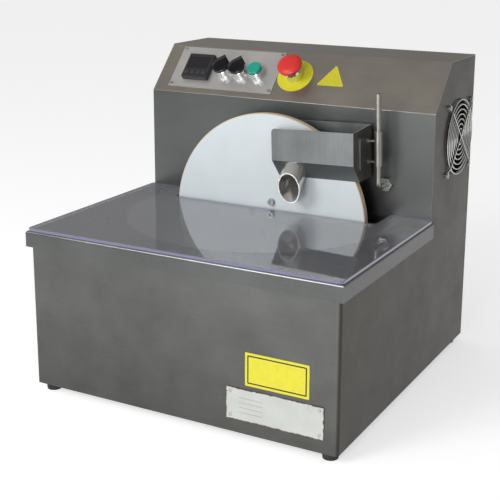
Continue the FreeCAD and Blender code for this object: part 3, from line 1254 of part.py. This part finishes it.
def make_power_parts():
    """Top-hat rail on the bottom plate with a contactor and terminals."""
    floor, y = "(foot_height + skin)", f"({BACK} - rail_back)"
    top = f"({floor} + rail_height)"
    right = "(rail_left + rail_length)"
    rail = body("din_rail")
    web = "(rail_width / 2 - rail_lip)"
    lip = "(rail_width / 2)"
    inner = [(f"{y} + {web}", top), (f"{y} + {web}", f"{floor} + rail_sheet"),
             (f"{y} - {web}", f"{floor} + rail_sheet"), (f"{y} - {web}", top)]
    outer = [(f"{y} - {lip}", top), (f"{y} - {lip}", f"{top} - rail_sheet"),
             (f"{y} - {web} - rail_sheet", f"{top} - rail_sheet"), (f"{y} - {web} - rail_sheet", floor),
             (f"{y} + {web} + rail_sheet", floor), (f"{y} + {web} + rail_sheet", f"{top} - rail_sheet"),
             (f"{y} + {lip}", f"{top} - rail_sheet"), (f"{y} + {lip}", top)]
    block(rail, "YZ", "rail_left", right, polygon(*inner, *outer))
    contactor = body("contactor")
    near = "(rail_left + contactor_in)"
    far = f"{near} + contactor_width"
    half, head = "contactor_depth / 2", "contactor_head_depth / 2"
    shoulder = f"({top} + contactor_height)"
    block(contactor, "XY", top, shoulder, rectangle(near, far, f"{y} - {half}", f"{y} + {half}"))
    block(contactor, "XY", shoulder, f"{shoulder} + contactor_head",
          rectangle(near, far, f"{y} - {head}", f"{y} + {head}"))
    strip = body("terminal_strip")
    near, half = "(rail_left + strip_in)", "strip_depth / 2"
    block(strip, "XY", top, f"{top} + strip_height",
          rectangle(near, f"{near} + 7.5 * strip_pitch", f"{y} - {half}", f"{y} + {half}"))
    starts = [f"{near} + ({step} + 0.75) * strip_pitch" for step in range(7)]
    grooves = [rectangle(start, f"{start} + strip_groove", f"{y} - {half} - 1", f"{y} + {half} + 1")
               for start in starts]
    cut(strip, "XY", f"{top} + strip_height - strip_groove_depth", f"{top} + strip_height + 1", *grooves)


# ---------------------------------------------------------------- build and export

def build():
    make_base_housing()
    make_bottom_plate()
    make_feet()
    make_tower_cover()
    make_rear_cover()
    make_power_inlet()
    make_tank_deck()
    make_tank_bowl()
    make_lid()
    make_control_plate()
    make_temperature_controller()
    make_controller_keys()
    make_selectors()
    make_start_button()
    make_emergency_stop()
    make_contact_blocks()
    make_fan_frame()
    make_fan_rotor()
    make_fan_guard()
    make_wheel()
    make_drive_shaft()
    make_shaft_bush()
    make_gearbox()
    make_scraper_box()
    make_spout()
    make_wiper_blades()
    make_clamp()
    make_sleeve()
    make_support_rod()
    make_rod_nuts()
    make_heating()
    make_power_parts()


def check_and_export():
    """Refuse a failed object or a bad shape, then write one file a sub-part."""
    doc.recompute()
    for item in doc.Objects:
        if "Invalid" in item.State or "Error" in item.State:
            raise RuntimeError(f"{item.Label} did not recompute")
    pieces = [item for item in doc.Objects if item.isDerivedFrom("PartDesign::Body")]
    for piece in pieces:
        if piece.Shape.isNull() or not piece.Shape.isValid():
            raise RuntimeError(f"{piece.Label} has no valid shape")
    os.makedirs("parts", exist_ok=True)
    for piece in pieces:
        piece.Shape.exportStep(os.path.join("parts", f"{piece.Label}.step"))
        print(piece.Label, len(piece.Shape.Solids), round(piece.Shape.Volume))


build()
check_and_export()
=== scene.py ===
import json
import math
import bmesh
import bpy
from mathutils import Euler, Matrix, Vector


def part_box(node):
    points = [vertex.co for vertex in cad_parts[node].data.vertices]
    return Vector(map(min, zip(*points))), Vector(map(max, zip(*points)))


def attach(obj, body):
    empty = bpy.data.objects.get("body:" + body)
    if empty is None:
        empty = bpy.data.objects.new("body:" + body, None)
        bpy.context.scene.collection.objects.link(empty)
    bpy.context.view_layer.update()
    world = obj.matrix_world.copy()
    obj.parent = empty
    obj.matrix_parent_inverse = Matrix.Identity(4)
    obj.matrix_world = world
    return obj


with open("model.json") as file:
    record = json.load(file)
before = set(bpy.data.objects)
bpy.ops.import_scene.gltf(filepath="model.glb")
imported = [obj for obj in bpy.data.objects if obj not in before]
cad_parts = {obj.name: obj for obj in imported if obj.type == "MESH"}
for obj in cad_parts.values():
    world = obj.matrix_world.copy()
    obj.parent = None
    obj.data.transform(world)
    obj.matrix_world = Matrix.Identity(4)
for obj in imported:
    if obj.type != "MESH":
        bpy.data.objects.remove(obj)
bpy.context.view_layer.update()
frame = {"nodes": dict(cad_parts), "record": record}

# Places on the machine, in metres, read from the frame.
BODY_LOW, BODY_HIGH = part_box("base_housing")
FRONT_Y = BODY_LOW.y
WHEEL_LOW, WHEEL_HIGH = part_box("tempering_wheel")
WHEEL_MIDDLE = (WHEEL_LOW + WHEEL_HIGH) / 2
WHEEL_RADIUS = (WHEEL_HIGH.x - WHEEL_LOW.x) / 2
TOWER_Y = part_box("tower_cover")[0].y
PANEL_ANGLE = math.radians(46.5)
PANEL_LOW = 0.4125

# Stickers and plates, in metres: a box on the front is left, right, low and high.
STICKER = 0.0003
FRONT_LABEL = (0.110, 0.205, 0.0835, 0.131)
RATING_PLATE = (0.081, 0.227, 0.031, 0.0776)
RATING_THICKNESS = 0.0008
RULE_STARTS = (0.012, 0.019, 0.026, 0.033)
TRIANGLE = ((0.0416, 0.0352), (0.088, 0.0352), (0.0645, 0.0752))


# ---------------------------------------------------------------- shader nodes

class Shader:
    """A material being built: its Principled shader and short names for other nodes."""

    def __init__(self, name, color, roughness, metallic=0.0, **sockets):
        self.material = bpy.data.materials.new(name)
        self.material.use_nodes = True
        self.tree = self.material.node_tree
        self.bsdf = self.tree.nodes["Principled BSDF"]
        self.put("Base Color", (*color, 1))
        self.put("Roughness", roughness)
        self.put("Metallic", metallic)
        for socket, value in sockets.items():
            self.put(socket.replace("_", " "), value)
        self.material.diffuse_color = (*color, 1)

    def put(self, socket, value):
        """Sets or links one input of the Principled shader."""
        self.feed(self.bsdf.inputs[socket], value)

    def feed(self, target, value):
        if isinstance(value, bpy.types.NodeSocket):
            self.tree.links.new(value, target)
        else:
            target.default_value = value

    def node(self, kind, inputs, **settings):
        node = self.tree.nodes.new("ShaderNode" + kind)
        for name, value in settings.items():
            setattr(node, name, value)
        for key, value in inputs.items():
            self.feed(node.inputs[key], value)
        return node

    def place(self):
        """Position on the object, in metres."""
        return self.node("TexCoord", {}).outputs["Object"]

    def normal(self):
        return self.node("TexCoord", {}).outputs["Normal"]

    def axes(self, vector):
        return self.node("SeparateXYZ", {0: vector}).outputs

    def stretch(self, scale, turn=(0, 0, 0)):
        inputs = {"Vector": self.place(), "Rotation": turn, "Scale": scale}
        return self.node("Mapping", inputs).outputs[0]

    def noise(self, scale, detail=3.0, vector=None, rough=0.5):
        inputs = {"Vector": vector or self.place(), "Scale": scale, "Detail": detail, "Roughness": rough}
        return self.node("TexNoise", inputs).outputs[0]

    def math(self, operation, first, second=0.0, third=0.0):
        return self.node("Math", {0: first, 1: second, 2: third}, operation=operation).outputs[0]

    def span(self, value, low, high, to_low=0.0, to_high=1.0, smooth=False):
        """Maps low..high to to_low..to_high and holds the ends."""
        inputs = {"Value": value, "From Min": low, "From Max": high, "To Min": to_low, "To Max": to_high}
        kind = "SMOOTHSTEP" if smooth else "LINEAR"
        return self.node("MapRange", inputs, interpolation_type=kind).outputs[0]

    def mix(self, factor, first, second, blend="MIX"):
        node = self.node("Mix", {0: factor}, data_type="RGBA", blend_type=blend)
        for key, value in ((6, first), (7, second)):
            self.feed(node.inputs[key], (*value, 1) if isinstance(value, tuple) else value)
        return node.outputs[2]

    def blend(self, factor, first, second):
        """A number between two others."""
        return self.node("Mix", {0: factor, 2: first, 3: second}, data_type="FLOAT").outputs[0]

    def painted_shade_by_facing(self, front, side, up):
        """Painted shade: a tint for faces towards the front or back, for the sides and for what looks
        upwards, standing in for how light falls on each.
        """
        across, _along, rise = self.axes(self.normal())[:3]
        sideways = self.span(self.math("ABSOLUTE", across), 0.35, 0.8)
        return self.mix(self.span(rise, 0.15, 0.5), self.mix(sideways, front, side), up)

    def bump(self, height, strength, distance=0.001, under=None):
        inputs = {"Height": height, "Strength": strength, "Distance": distance}
        if under:
            inputs["Normal"] = under
        return self.node("Bump", inputs).outputs[0]

    def grain(self, across, along, axis):
        """Fine streaks that run along one axis (0, 1 or 2)."""
        scale = [across] * 3
        scale[axis] = along
        return self.noise(1.0, 4.0, self.stretch(tuple(scale)), 0.6)


# ---------------------------------------------------------------- materials

def steel(name, dark, light, roughness, across=2600, along=25, metallic=0.9, axis=None, smudge=1.0):
    """Brushed sheet: streaks along X on faces towards front or top and along Y on the sides."""
    s = Shader(name, light, roughness, metallic)
    if axis is None:
        side = s.math("ABSOLUTE", s.axes(s.normal())[0])
        side = s.math("GREATER_THAN", side, 0.7)
        streaks = s.blend(side, s.grain(across, along, 0), s.grain(across, along, 1))
    else:
        streaks = s.grain(across, along, axis)
    cloud = s.noise(4.5, 4.0, rough=0.6)
    blot = s.noise(17.0, 5.0, rough=0.65)
    tone = s.math("ADD", s.math("MULTIPLY", cloud, 0.6), s.math("MULTIPLY", blot, 0.4))
    tone = s.span(tone, 0.5 - 0.16 / smudge, 0.5 + 0.16 / smudge)
    base = s.mix(tone, dark, light)
    fine = s.span(streaks, 0.3, 0.7, 0.9, 1.06)
    fine = s.node("CombineXYZ", {0: fine, 1: fine, 2: fine}).outputs[0]
    s.color = s.mix(1.0, base, fine, "MULTIPLY")
    s.put("Base Color", s.color)
    rough = s.span(blot, 0.35, 0.7, roughness * 0.88, roughness * 1.14)
    s.put("Roughness", s.math("ADD", rough, s.span(streaks, 0.3, 0.7, -0.03, 0.03)))
    s.put("Normal", s.bump(streaks, 0.10, 0.0004))
    return s


def apply_painted_shade(s, *tints):
    """Multiplies a steel's colour by each tint of painted shade."""
    for extra in tints:
        s.color = s.mix(1.0, s.color, extra, "MULTIPLY")
    s.put("Base Color", s.color)
    return s.material


def housing_steel():
    """Painted shade: the wrapped sheet is painted darker on its sides and towards the floor."""
    s = steel("housing_steel", (0.105, 0.108, 0.10), (0.165, 0.168, 0.160), 0.40)
    height = s.axes(s.place())[2]
    # Painted shade: darker towards the floor, down to about three quarters at the bottom.
    low = s.mix(s.span(height, 0.02, BODY_HIGH.z * 0.5), (0.74, 0.74, 0.74), (1.0, 1.0, 1.0))
    return apply_painted_shade(s, s.painted_shade_by_facing((1, 1, 1), (0.46, 0.42, 0.375), (1, 1, 1)), low)


def tower_steel():
    """Painted shade by facing: the tower's front is painted darker than the slanted panel and the top,
    which are painted warmer.
    """
    s = steel("tower_steel", (0.30, 0.305, 0.295), (0.40, 0.41, 0.40), 0.38, smudge=0.8)
    return apply_painted_shade(s, s.painted_shade_by_facing((0.40, 0.41, 0.41), (0.5, 0.48, 0.45), (1.0, 0.90, 0.80)))


def tank_steel():
    s = steel("tank_steel", (0.24, 0.245, 0.24), (0.34, 0.345, 0.34), 0.30)
    # Painted shade: faces towards the front, back and sides are painted darker than the faces that look
    # upwards.
    return apply_painted_shade(s, s.painted_shade_by_facing((0.42, 0.43, 0.43), (0.42, 0.41, 0.42), (1, 1, 1)))


def scraper_steel():
    """Uneven streaks that run down the box, with painted shade on the front and sides and a painted
    highlight on faces that look upwards.
    """
    s = steel("scraper_steel", (0.20, 0.21, 0.21), (0.36, 0.375, 0.375), 0.36,
              across=900, along=14, axis=2)
    return apply_painted_shade(s, s.painted_shade_by_facing((0.9, 0.9, 0.9), (0.5, 0.47, 0.44), (1.5, 1.5, 1.5)))


def rod_steel():
    s = steel("rod_steel", (0.27, 0.26, 0.24), (0.42, 0.41, 0.39), 0.34, across=3000, along=200, axis=0)
    return s.material


def hardware_steel():
    s = steel("hardware_steel", (0.34, 0.34, 0.33), (0.58, 0.58, 0.57), 0.30,
              across=1500, along=1500, axis=0)
    return s.material


def shaft_steel():
    s = steel("shaft_steel", (0.42, 0.42, 0.42), (0.60, 0.60, 0.60), 0.28,
              across=2500, along=2500, axis=1)
    return s.material


def polished_spout():
    s = steel("polished_spout", (0.55, 0.53, 0.50), (0.78, 0.77, 0.75), 0.16,
              across=1600, along=60, axis=0)
    return s.material


def bezel_chrome():
    s = Shader("bezel_chrome", (0.72, 0.73, 0.74), 0.12, 1.0)
    mist = s.noise(420.0, 3.0)
    s.put("Base Color", s.mix(mist, (0.62, 0.63, 0.64), (0.82, 0.83, 0.84)))
    s.put("Roughness", s.span(mist, 0.3, 0.7, 0.09, 0.2))
    return s.material


def guard_wire():
    s = Shader("guard_wire", (0.55, 0.55, 0.53), 0.24, 1.0)
    mist = s.noise(300.0, 3.0)
    s.put("Base Color", s.mix(mist, (0.38, 0.38, 0.36), (0.70, 0.70, 0.68)))
    s.put("Roughness", s.span(mist, 0.3, 0.7, 0.18, 0.34))
    return s.material


def clear_lid():
    """Clear acrylic with a mirror-like face; light gathers violet in its sawn edges."""
    s = Shader("clear_lid", (0.34, 0.34, 0.37), 0.035, IOR=1.9,
               Coat_Weight=1.0, Coat_Roughness=0.03, Coat_IOR=1.6)
    flat = s.math("ABSOLUTE", s.axes(s.normal())[2])
    edge = s.math("LESS_THAN", flat, 0.5)
    haze = s.noise(9.0, 4.0)
    face = s.mix(haze, (0.30, 0.30, 0.33), (0.38, 0.38, 0.41))
    s.put("Base Color", s.mix(edge, face, (0.075, 0.065, 0.22)))
    s.put("Alpha", s.blend(edge, 0.62, 0.93))
    scuff = s.noise(1.0, 5.0, s.stretch((240, 18, 100), (0, 0, 0.5)), 0.7)
    s.put("Roughness", s.span(scuff, 0.5, 0.75, 0.03, 0.09))
    s.material.surface_render_method = "BLENDED"
    return s.material


def wheel_white():
    """Milky plastic disc whose rim has yellowed."""
    s = Shader("wheel_white", (0.70, 0.75, 0.78), 0.34, Subsurface_Weight=0.0)
    x, _y, z = s.axes(s.place())[:3]
    up = s.math("SUBTRACT", z, WHEEL_MIDDLE.z)
    radius = s.math("SQRT", s.math("ADD", s.math("MULTIPLY", x, x), s.math("MULTIPLY", up, up)))
    rim = s.span(radius, WHEEL_RADIUS - 0.0022, WHEEL_RADIUS - 0.0012, smooth=True)
    mark = s.noise(22.0, 4.0)
    face = s.mix(mark, (0.66, 0.72, 0.75), (0.74, 0.79, 0.82))
    s.put("Base Color", s.mix(rim, face, (0.74, 0.62, 0.47)))
    turned = s.node("TexWave", {"Vector": s.stretch((1, 0, 1)), "Scale": 300.0}, wave_type="RINGS",
                    rings_direction="Y").outputs[1]
    s.put("Normal", s.bump(turned, 0.03, 0.0002))
    s.put("Roughness", s.span(mark, 0.3, 0.7, 0.28, 0.42))
    return s.material


def moulded(name, color, roughness, mottle=0.12, grain=900.0, **sockets):
    """Moulded plastic or rubber: a faint grain and a slightly uneven colour."""
    s = Shader(name, color, roughness, **sockets)
    patch = s.noise(60.0, 3.0)
    pale = tuple(min(1.0, c * (1 + mottle) + 0.004) for c in color)
    deep = tuple(c * (1 - mottle) for c in color)
    s.put("Base Color", s.mix(patch, deep, pale))
    pits = s.noise(grain, 2.0)
    s.put("Roughness", s.span(pits, 0.3, 0.7, roughness * 0.9, roughness * 1.15))
    s.put("Normal", s.bump(pits, 0.08, 0.0002))
    return s.material


def plate_aluminium():
    s = steel("plate_aluminium", (0.52, 0.51, 0.49), (0.66, 0.65, 0.63), 0.38,
              across=3000, along=60, axis=0, metallic=0.7)
    return s.material


def probe_brass():
    s = Shader("probe_brass", (0.72, 0.56, 0.25), 0.3, 1.0)
    patch = s.noise(90.0, 3.0)
    s.put("Base Color", s.mix(patch, (0.55, 0.40, 0.16), (0.78, 0.62, 0.30)))
    return s.material


def heater_aluminium():
    s = steel("heater_aluminium", (0.48, 0.48, 0.48), (0.66, 0.66, 0.66), 0.5,
              across=800, along=800, axis=0)
    return s.material


SLOT_MATERIALS = {
    "housing_steel": housing_steel,
    "tower_steel": tower_steel,
    "tank_steel": tank_steel,
    "scraper_steel": scraper_steel,
    "rod_steel": rod_steel,
    "hardware_steel": hardware_steel,
    "shaft_steel": shaft_steel,
    "polished_spout": polished_spout,
    "bezel_chrome": bezel_chrome,
    "clear_lid": clear_lid,
    "wheel_white": wheel_white,
    "wiper_white": lambda: moulded("wiper_white", (0.80, 0.80, 0.76), 0.42),
    "controller_black": lambda: moulded("controller_black", (0.018, 0.018, 0.021), 0.42),
    "screen_dark": lambda: moulded("screen_dark", (0.006, 0.006, 0.008), 0.12, grain=40.0),
    "key_grey": lambda: moulded("key_grey", (0.035, 0.036, 0.04), 0.5),
    "knob_black": lambda: moulded("knob_black", (0.010, 0.010, 0.012), 0.3),
    "button_green": lambda: moulded("button_green", (0.004, 0.36, 0.24), 0.32, 0.05),
    "estop_red": lambda: moulded("estop_red", (0.72, 0.028, 0.022), 0.36, 0.05),
    "estop_yellow": lambda: moulded("estop_yellow", (0.74, 0.68, 0.018), 0.45, 0.04),
    "plate_aluminium": plate_aluminium,
    "guard_wire": guard_wire,
    "fan_black": lambda: moulded("fan_black", (0.016, 0.016, 0.017), 0.45),
    "feet_rubber": lambda: moulded("feet_rubber", (0.014, 0.014, 0.014), 0.7, 0.3, 500.0),
    "inlet_black": lambda: moulded("inlet_black", (0.02, 0.02, 0.02), 0.45),
    "machine_grey": lambda: moulded("machine_grey", (0.20, 0.21, 0.23), 0.5, 0.2, 300.0),
    "seal_rubber": lambda: moulded("seal_rubber", (0.03, 0.03, 0.03), 0.65),
    "block_black": lambda: moulded("block_black", (0.03, 0.03, 0.03), 0.5),
    "part_grey": lambda: moulded("part_grey", (0.45, 0.46, 0.47), 0.5),
    "heater_aluminium": heater_aluminium,
    "probe_brass": probe_brass,
}


def dress_nodes():
    """Each node gets the material of its slot in the record."""
    made = {}
    for part in frame["record"]["subparts"]:
        slot = part["material_slot"]
        if slot not in made:
            made[slot] = SLOT_MATERIALS[slot]()
        mesh = frame["nodes"][part["node"]].data
        mesh.materials.clear()
        mesh.materials.append(made[slot])
    return made


materials = dress_nodes()


# ---------------------------------------------------------------- pieces of mesh

def mesh_piece(name, bm, material, body):
    mesh = bpy.data.meshes.new(name)
    bm.to_mesh(mesh)
    bm.free()
    mesh.materials.append(material)
    piece = bpy.data.objects.new(name, mesh)
    bpy.context.scene.collection.objects.link(piece)
    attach(piece, body)
    return piece


def on_panel(x, up, out):
    """A point of the slanted panel: across, up the slope and out of it."""
    return Vector((x, TOWER_Y + up * math.cos(PANEL_ANGLE) - out * math.sin(PANEL_ANGLE),
                   PANEL_LOW + up * math.sin(PANEL_ANGLE) + out * math.cos(PANEL_ANGLE)))


def on_front(x, z, out=0.0):
    return Vector((x, FRONT_Y - out, z))


def rounded(points, radius, steps=6):
    """The outline with each corner turned into an arc. The points run anticlockwise."""
    outline = []
    for i, corner in enumerate(points):
        corner = Vector(corner)
        before = (Vector(points[i - 1]) - corner).normalized()
        after = (Vector(points[(i + 1) % len(points)]) - corner).normalized()
        half = before.angle(after) / 2
        centre = corner + (before + after).normalized() * radius / math.sin(half)
        start = corner + before * radius / math.tan(half) - centre
        end = corner + after * radius / math.tan(half) - centre
        turn = start.angle_signed(end)
        for step in range(steps + 1):
            arm = start.copy()
            arm.rotate(Matrix.Rotation(-turn * step / steps, 2))
            outline.append(tuple(centre + arm))
    return outline


def box_outline(left, right, low, high, radius):
    return rounded([(left, low), (right, low), (right, high), (left, high)], radius)


def add_sheet(bm, outline, where, low, high):
    """A flat closed solid over an outline, between two heights above its face."""
    floor = [bm.verts.new(where(u, v, low)) for u, v in outline]
    roof = [bm.verts.new(where(u, v, high)) for u, v in outline]
    bm.faces.new(roof)
    bm.faces.new(list(reversed(floor)))
    for i in range(len(outline)):
        j = (i + 1) % len(outline)
        bm.faces.new((floor[i], floor[j], roof[j], roof[i]))


def add_frame(bm, outer, inner, where, low, high):
    """A flat closed ring between two outlines of equally many points."""
    rows = [[bm.verts.new(where(u, v, level)) for u, v in line]
            for line, level in ((outer, low), (outer, high), (inner, high), (inner, low))]
    count = len(outer)
    for a in range(4):
        b = (a + 1) % 4
        for i in range(count):
            j = (i + 1) % count
            bm.faces.new((rows[a][i], rows[a][j], rows[b][j], rows[b][i]))


def sheet_piece(name, outlines, where, material, body, low=0.0, high=STICKER):
    bm = bmesh.new()
    for outline in outlines:
        add_sheet(bm, outline, where, low, high)
    bmesh.ops.recalc_face_normals(bm, faces=bm.faces)
    return mesh_piece(name, bm, material, body)


def printed(name, color, roughness=0.5):
    """Printing ink or coloured film with faint dust and wear."""
    s = Shader(name, color, roughness)
    dust = s.noise(140.0, 5.0, rough=0.7)
    worn = tuple(c * 0.82 + 0.02 for c in color)
    s.put("Base Color", s.mix(s.span(dust, 0.45, 0.8), color, worn))
    s.put("Roughness", s.span(dust, 0.3, 0.7, roughness * 0.85, roughness * 1.2))
    return s.material


INK = printed("ink_black", (0.012, 0.012, 0.012), 0.55)
YELLOW = printed("label_yellow", (0.66, 0.60, 0.022), 0.42)


# ---------------------------------------------------------------- stickers and plates

def front_label():
    """Plain yellow sticker with a thin dark frame on the front, right."""
    left, right, low, high = FRONT_LABEL
    sheet_piece("front_label", [box_outline(left, right, low, high, 0.0012)], on_front, YELLOW,
                "base")
    inset, line = 0.0035, 0.0018
    outer = box_outline(left + inset, right - inset, low + inset, high - inset, 0.0014)
    inset += line
    inner = box_outline(left + inset, right - inset, low + inset, high - inset, 0.0008)
    bm = bmesh.new()
    add_frame(bm, outer, inner, on_front, STICKER, STICKER * 1.4)
    bmesh.ops.recalc_face_normals(bm, faces=bm.faces)
    mesh_piece("front_label_frame", bm, INK, "base")


def panel_triangle():
    """Plain yellow triangular sticker on the slanted panel."""
    sheet_piece("panel_triangle", [rounded(TRIANGLE, 0.0016)], on_panel, YELLOW, "base")


def stained_plate():
    """Bare aluminium with rust-brown edges and a run of rust from the upper right rivet."""
    s = Shader("rating_plate_metal", (0.52, 0.53, 0.50), 0.42, 0.55)
    x, _y, z = s.axes(s.place())[:3]
    left, right, low, high = RATING_PLATE
    across = s.math("MINIMUM", s.math("SUBTRACT", x, left), s.math("SUBTRACT", right, x))
    upward = s.math("MINIMUM", s.math("SUBTRACT", z, low), s.math("SUBTRACT", high, z))
    edge = s.math("MINIMUM", across, upward)
    ragged = s.math("ADD", edge, s.math("MULTIPLY", s.math("SUBTRACT", s.noise(160.0, 5.0), 0.5), 0.0045))
    rust = s.span(ragged, 0.0003, 0.0017, 1.0, 0.0)
    run = s.noise(1.0, 4.0, s.stretch((420, 1, 26)), 0.6)
    near = s.span(s.math("ABSOLUTE", s.math("SUBTRACT", x, right - 0.020)), 0.003, 0.0075, 1.0, 0.0)
    tall = s.span(z, high - 0.014, high - 0.001, 0.0, 1.0)
    streak = s.math("MULTIPLY", s.math("MULTIPLY", near, tall), s.span(run, 0.48, 0.6))
    stain = s.math("MAXIMUM", rust, streak)
    tone = s.noise(38.0, 4.0)
    bare = s.mix(tone, (0.46, 0.47, 0.45), (0.60, 0.61, 0.59))
    s.put("Base Color", s.mix(stain, bare, (0.085, 0.035, 0.018)))
    s.put("Roughness", s.blend(stain, 0.4, 0.8))
    s.put("Metallic", s.blend(stain, 0.55, 0.0))
    return s.material


def rating_plate():
    """Bare plate with ruled lines and four rivets, low on the front, right."""
    left, right, low, high = RATING_PLATE
    thick = RATING_THICKNESS
    sheet_piece("rating_plate", [box_outline(left, right, low, high, 0.0015)], on_front, stained_plate(),
                "base", 0.0, thick)
    lines = [box_outline(left + 0.020, left + 0.056, low + rise, low + rise + 0.00035, 0.0001)
             for rise in RULE_STARTS]
    grey = printed("ink_grey", (0.16, 0.17, 0.16), 0.5)
    sheet_piece("rating_plate_rules", lines, on_front, grey,
                "base", thick, thick + 0.0001)
    bm = bmesh.new()
    for x in (left + 0.0065, right - 0.0065):
        for z in (low + 0.006, high - 0.006):
            add_rivet(bm, on_front(x, z, thick), 0.0024, 0.0011)
    bmesh.ops.recalc_face_normals(bm, faces=bm.faces)
    smooth(mesh_piece("rating_plate_rivets", bm, materials["hardware_steel"], "base"))


def add_rivet(bm, foot, radius, height, sides=20):
    """A domed rivet head facing the front, with a dimple in its crown."""
    section = [(radius, 0.0), (radius, height * 0.25), (radius * 0.82, height * 0.72),
               (radius * 0.52, height), (radius * 0.30, height), (radius * 0.24, height * 0.55)]
    rows = []
    for reach, out in section:
        rows.append([bm.verts.new(foot + Vector((reach * math.cos(a), -out, reach * math.sin(a))))
                     for a in (2 * math.pi * i / sides for i in range(sides))])
    for near, far in zip(rows, rows[1:]):
        for i in range(sides):
            j = (i + 1) % sides
            bm.faces.new((near[i], near[j], far[j], far[i]))
    bm.faces.new(rows[-1])
    bm.faces.new(list(reversed(rows[0])))


def smooth(piece, angle=40):
    for polygon in piece.data.polygons:
        polygon.use_smooth = True
    piece.data.set_sharp_from_angle(angle=math.radians(angle))


# ---------------------------------------------------------------- camera, light, floor

def add_camera():
    data = bpy.data.cameras.new("camera")
    data.sensor_width = 36
    data.lens = 77.9546
    data.shift_x = -0.016709
    data.shift_y = -0.112308
    camera = bpy.data.objects.new("camera", data)
    camera.location = (0.76067, -1.42644, 0.68310)
    camera.rotation_euler = Euler([math.radians(a) for a in (75.95518, -0.29053, 28.36903)], "XYZ")
    bpy.context.scene.collection.objects.link(camera)
    bpy.context.scene.camera = camera


def add_floor():
    """Pale floor that glows faintly, and less so in front of the camera's side."""
    bm = bmesh.new()
    half = 30.0
    corners = ((-half, -half), (half, -half), (half, half), (-half, half))
    bm.faces.new([bm.verts.new((x, y, 0)) for x, y in corners])
    mesh = bpy.data.meshes.new("floor")
    bm.to_mesh(mesh)
    bm.free()
    s = Shader("floor_paper", (0.88, 0.88, 0.88), 0.9, Emission_Color=(1, 1, 1, 1))
    depth = s.axes(s.place())[1]
    s.put("Emission Strength", s.span(depth, -1.3, -0.9, 0.12, 0.55, smooth=True))
    mesh.materials.append(s.material)
    floor = bpy.data.objects.new("floor", mesh)
    bpy.context.scene.collection.objects.link(floor)


def add_lamp(name, where, aim, size, power):
    data = bpy.data.lights.new(name, "AREA")
    data.shape = "DISK"
    data.size = size
    data.energy = power
    lamp = bpy.data.objects.new(name, data)
    lamp.location = where
    lamp.rotation_euler = (Vector(aim) - Vector(where)).to_track_quat("-Z", "Y").to_euler()
    bpy.context.scene.collection.objects.link(lamp)


def add_world():
    """Even pale light, dimmer towards +X and brighter from the front left."""
    world = bpy.data.worlds.new("studio")
    bpy.context.scene.world = world
    world.use_nodes = True
    tree = world.node_tree
    back = tree.nodes["Background"]
    coord = tree.nodes.new("ShaderNodeTexCoord")
    aim = tree.nodes.new("ShaderNodeVectorMath")
    aim.operation = "DOT_PRODUCT"
    aim.inputs[1].default_value = Vector((-0.75, -0.62, 0.25)).normalized()
    ramp = tree.nodes.new("ShaderNodeMapRange")
    for name, value in (("From Min", -1.0), ("From Max", 1.0), ("To Min", 0.16), ("To Max", 0.50)):
        ramp.inputs[name].default_value = value
    tree.links.new(coord.outputs["Generated"], aim.inputs[0])
    tree.links.new(aim.outputs["Value"], ramp.inputs["Value"])
    tree.links.new(ramp.outputs[0], back.inputs["Strength"])
    back.inputs["Color"].default_value = (1, 1, 1, 1)


def clear_defaults():
    for name in ("Cube", "Light", "Camera"):
        if name in bpy.data.objects:
            bpy.data.objects.remove(bpy.data.objects[name])


clear_defaults()
bpy.context.scene.view_settings.view_transform = "Standard"
add_camera()
add_floor()
add_world()
add_lamp("key", (-0.9, -2.2, 1.5), (0, 0.05, 0.25), 1.2, 24)
add_lamp("strip", (0.3, -2.0, 0.5), (0.15, 0.05, 0.3), 0.7, 12)
front_label()
panel_triangle()
rating_plate()
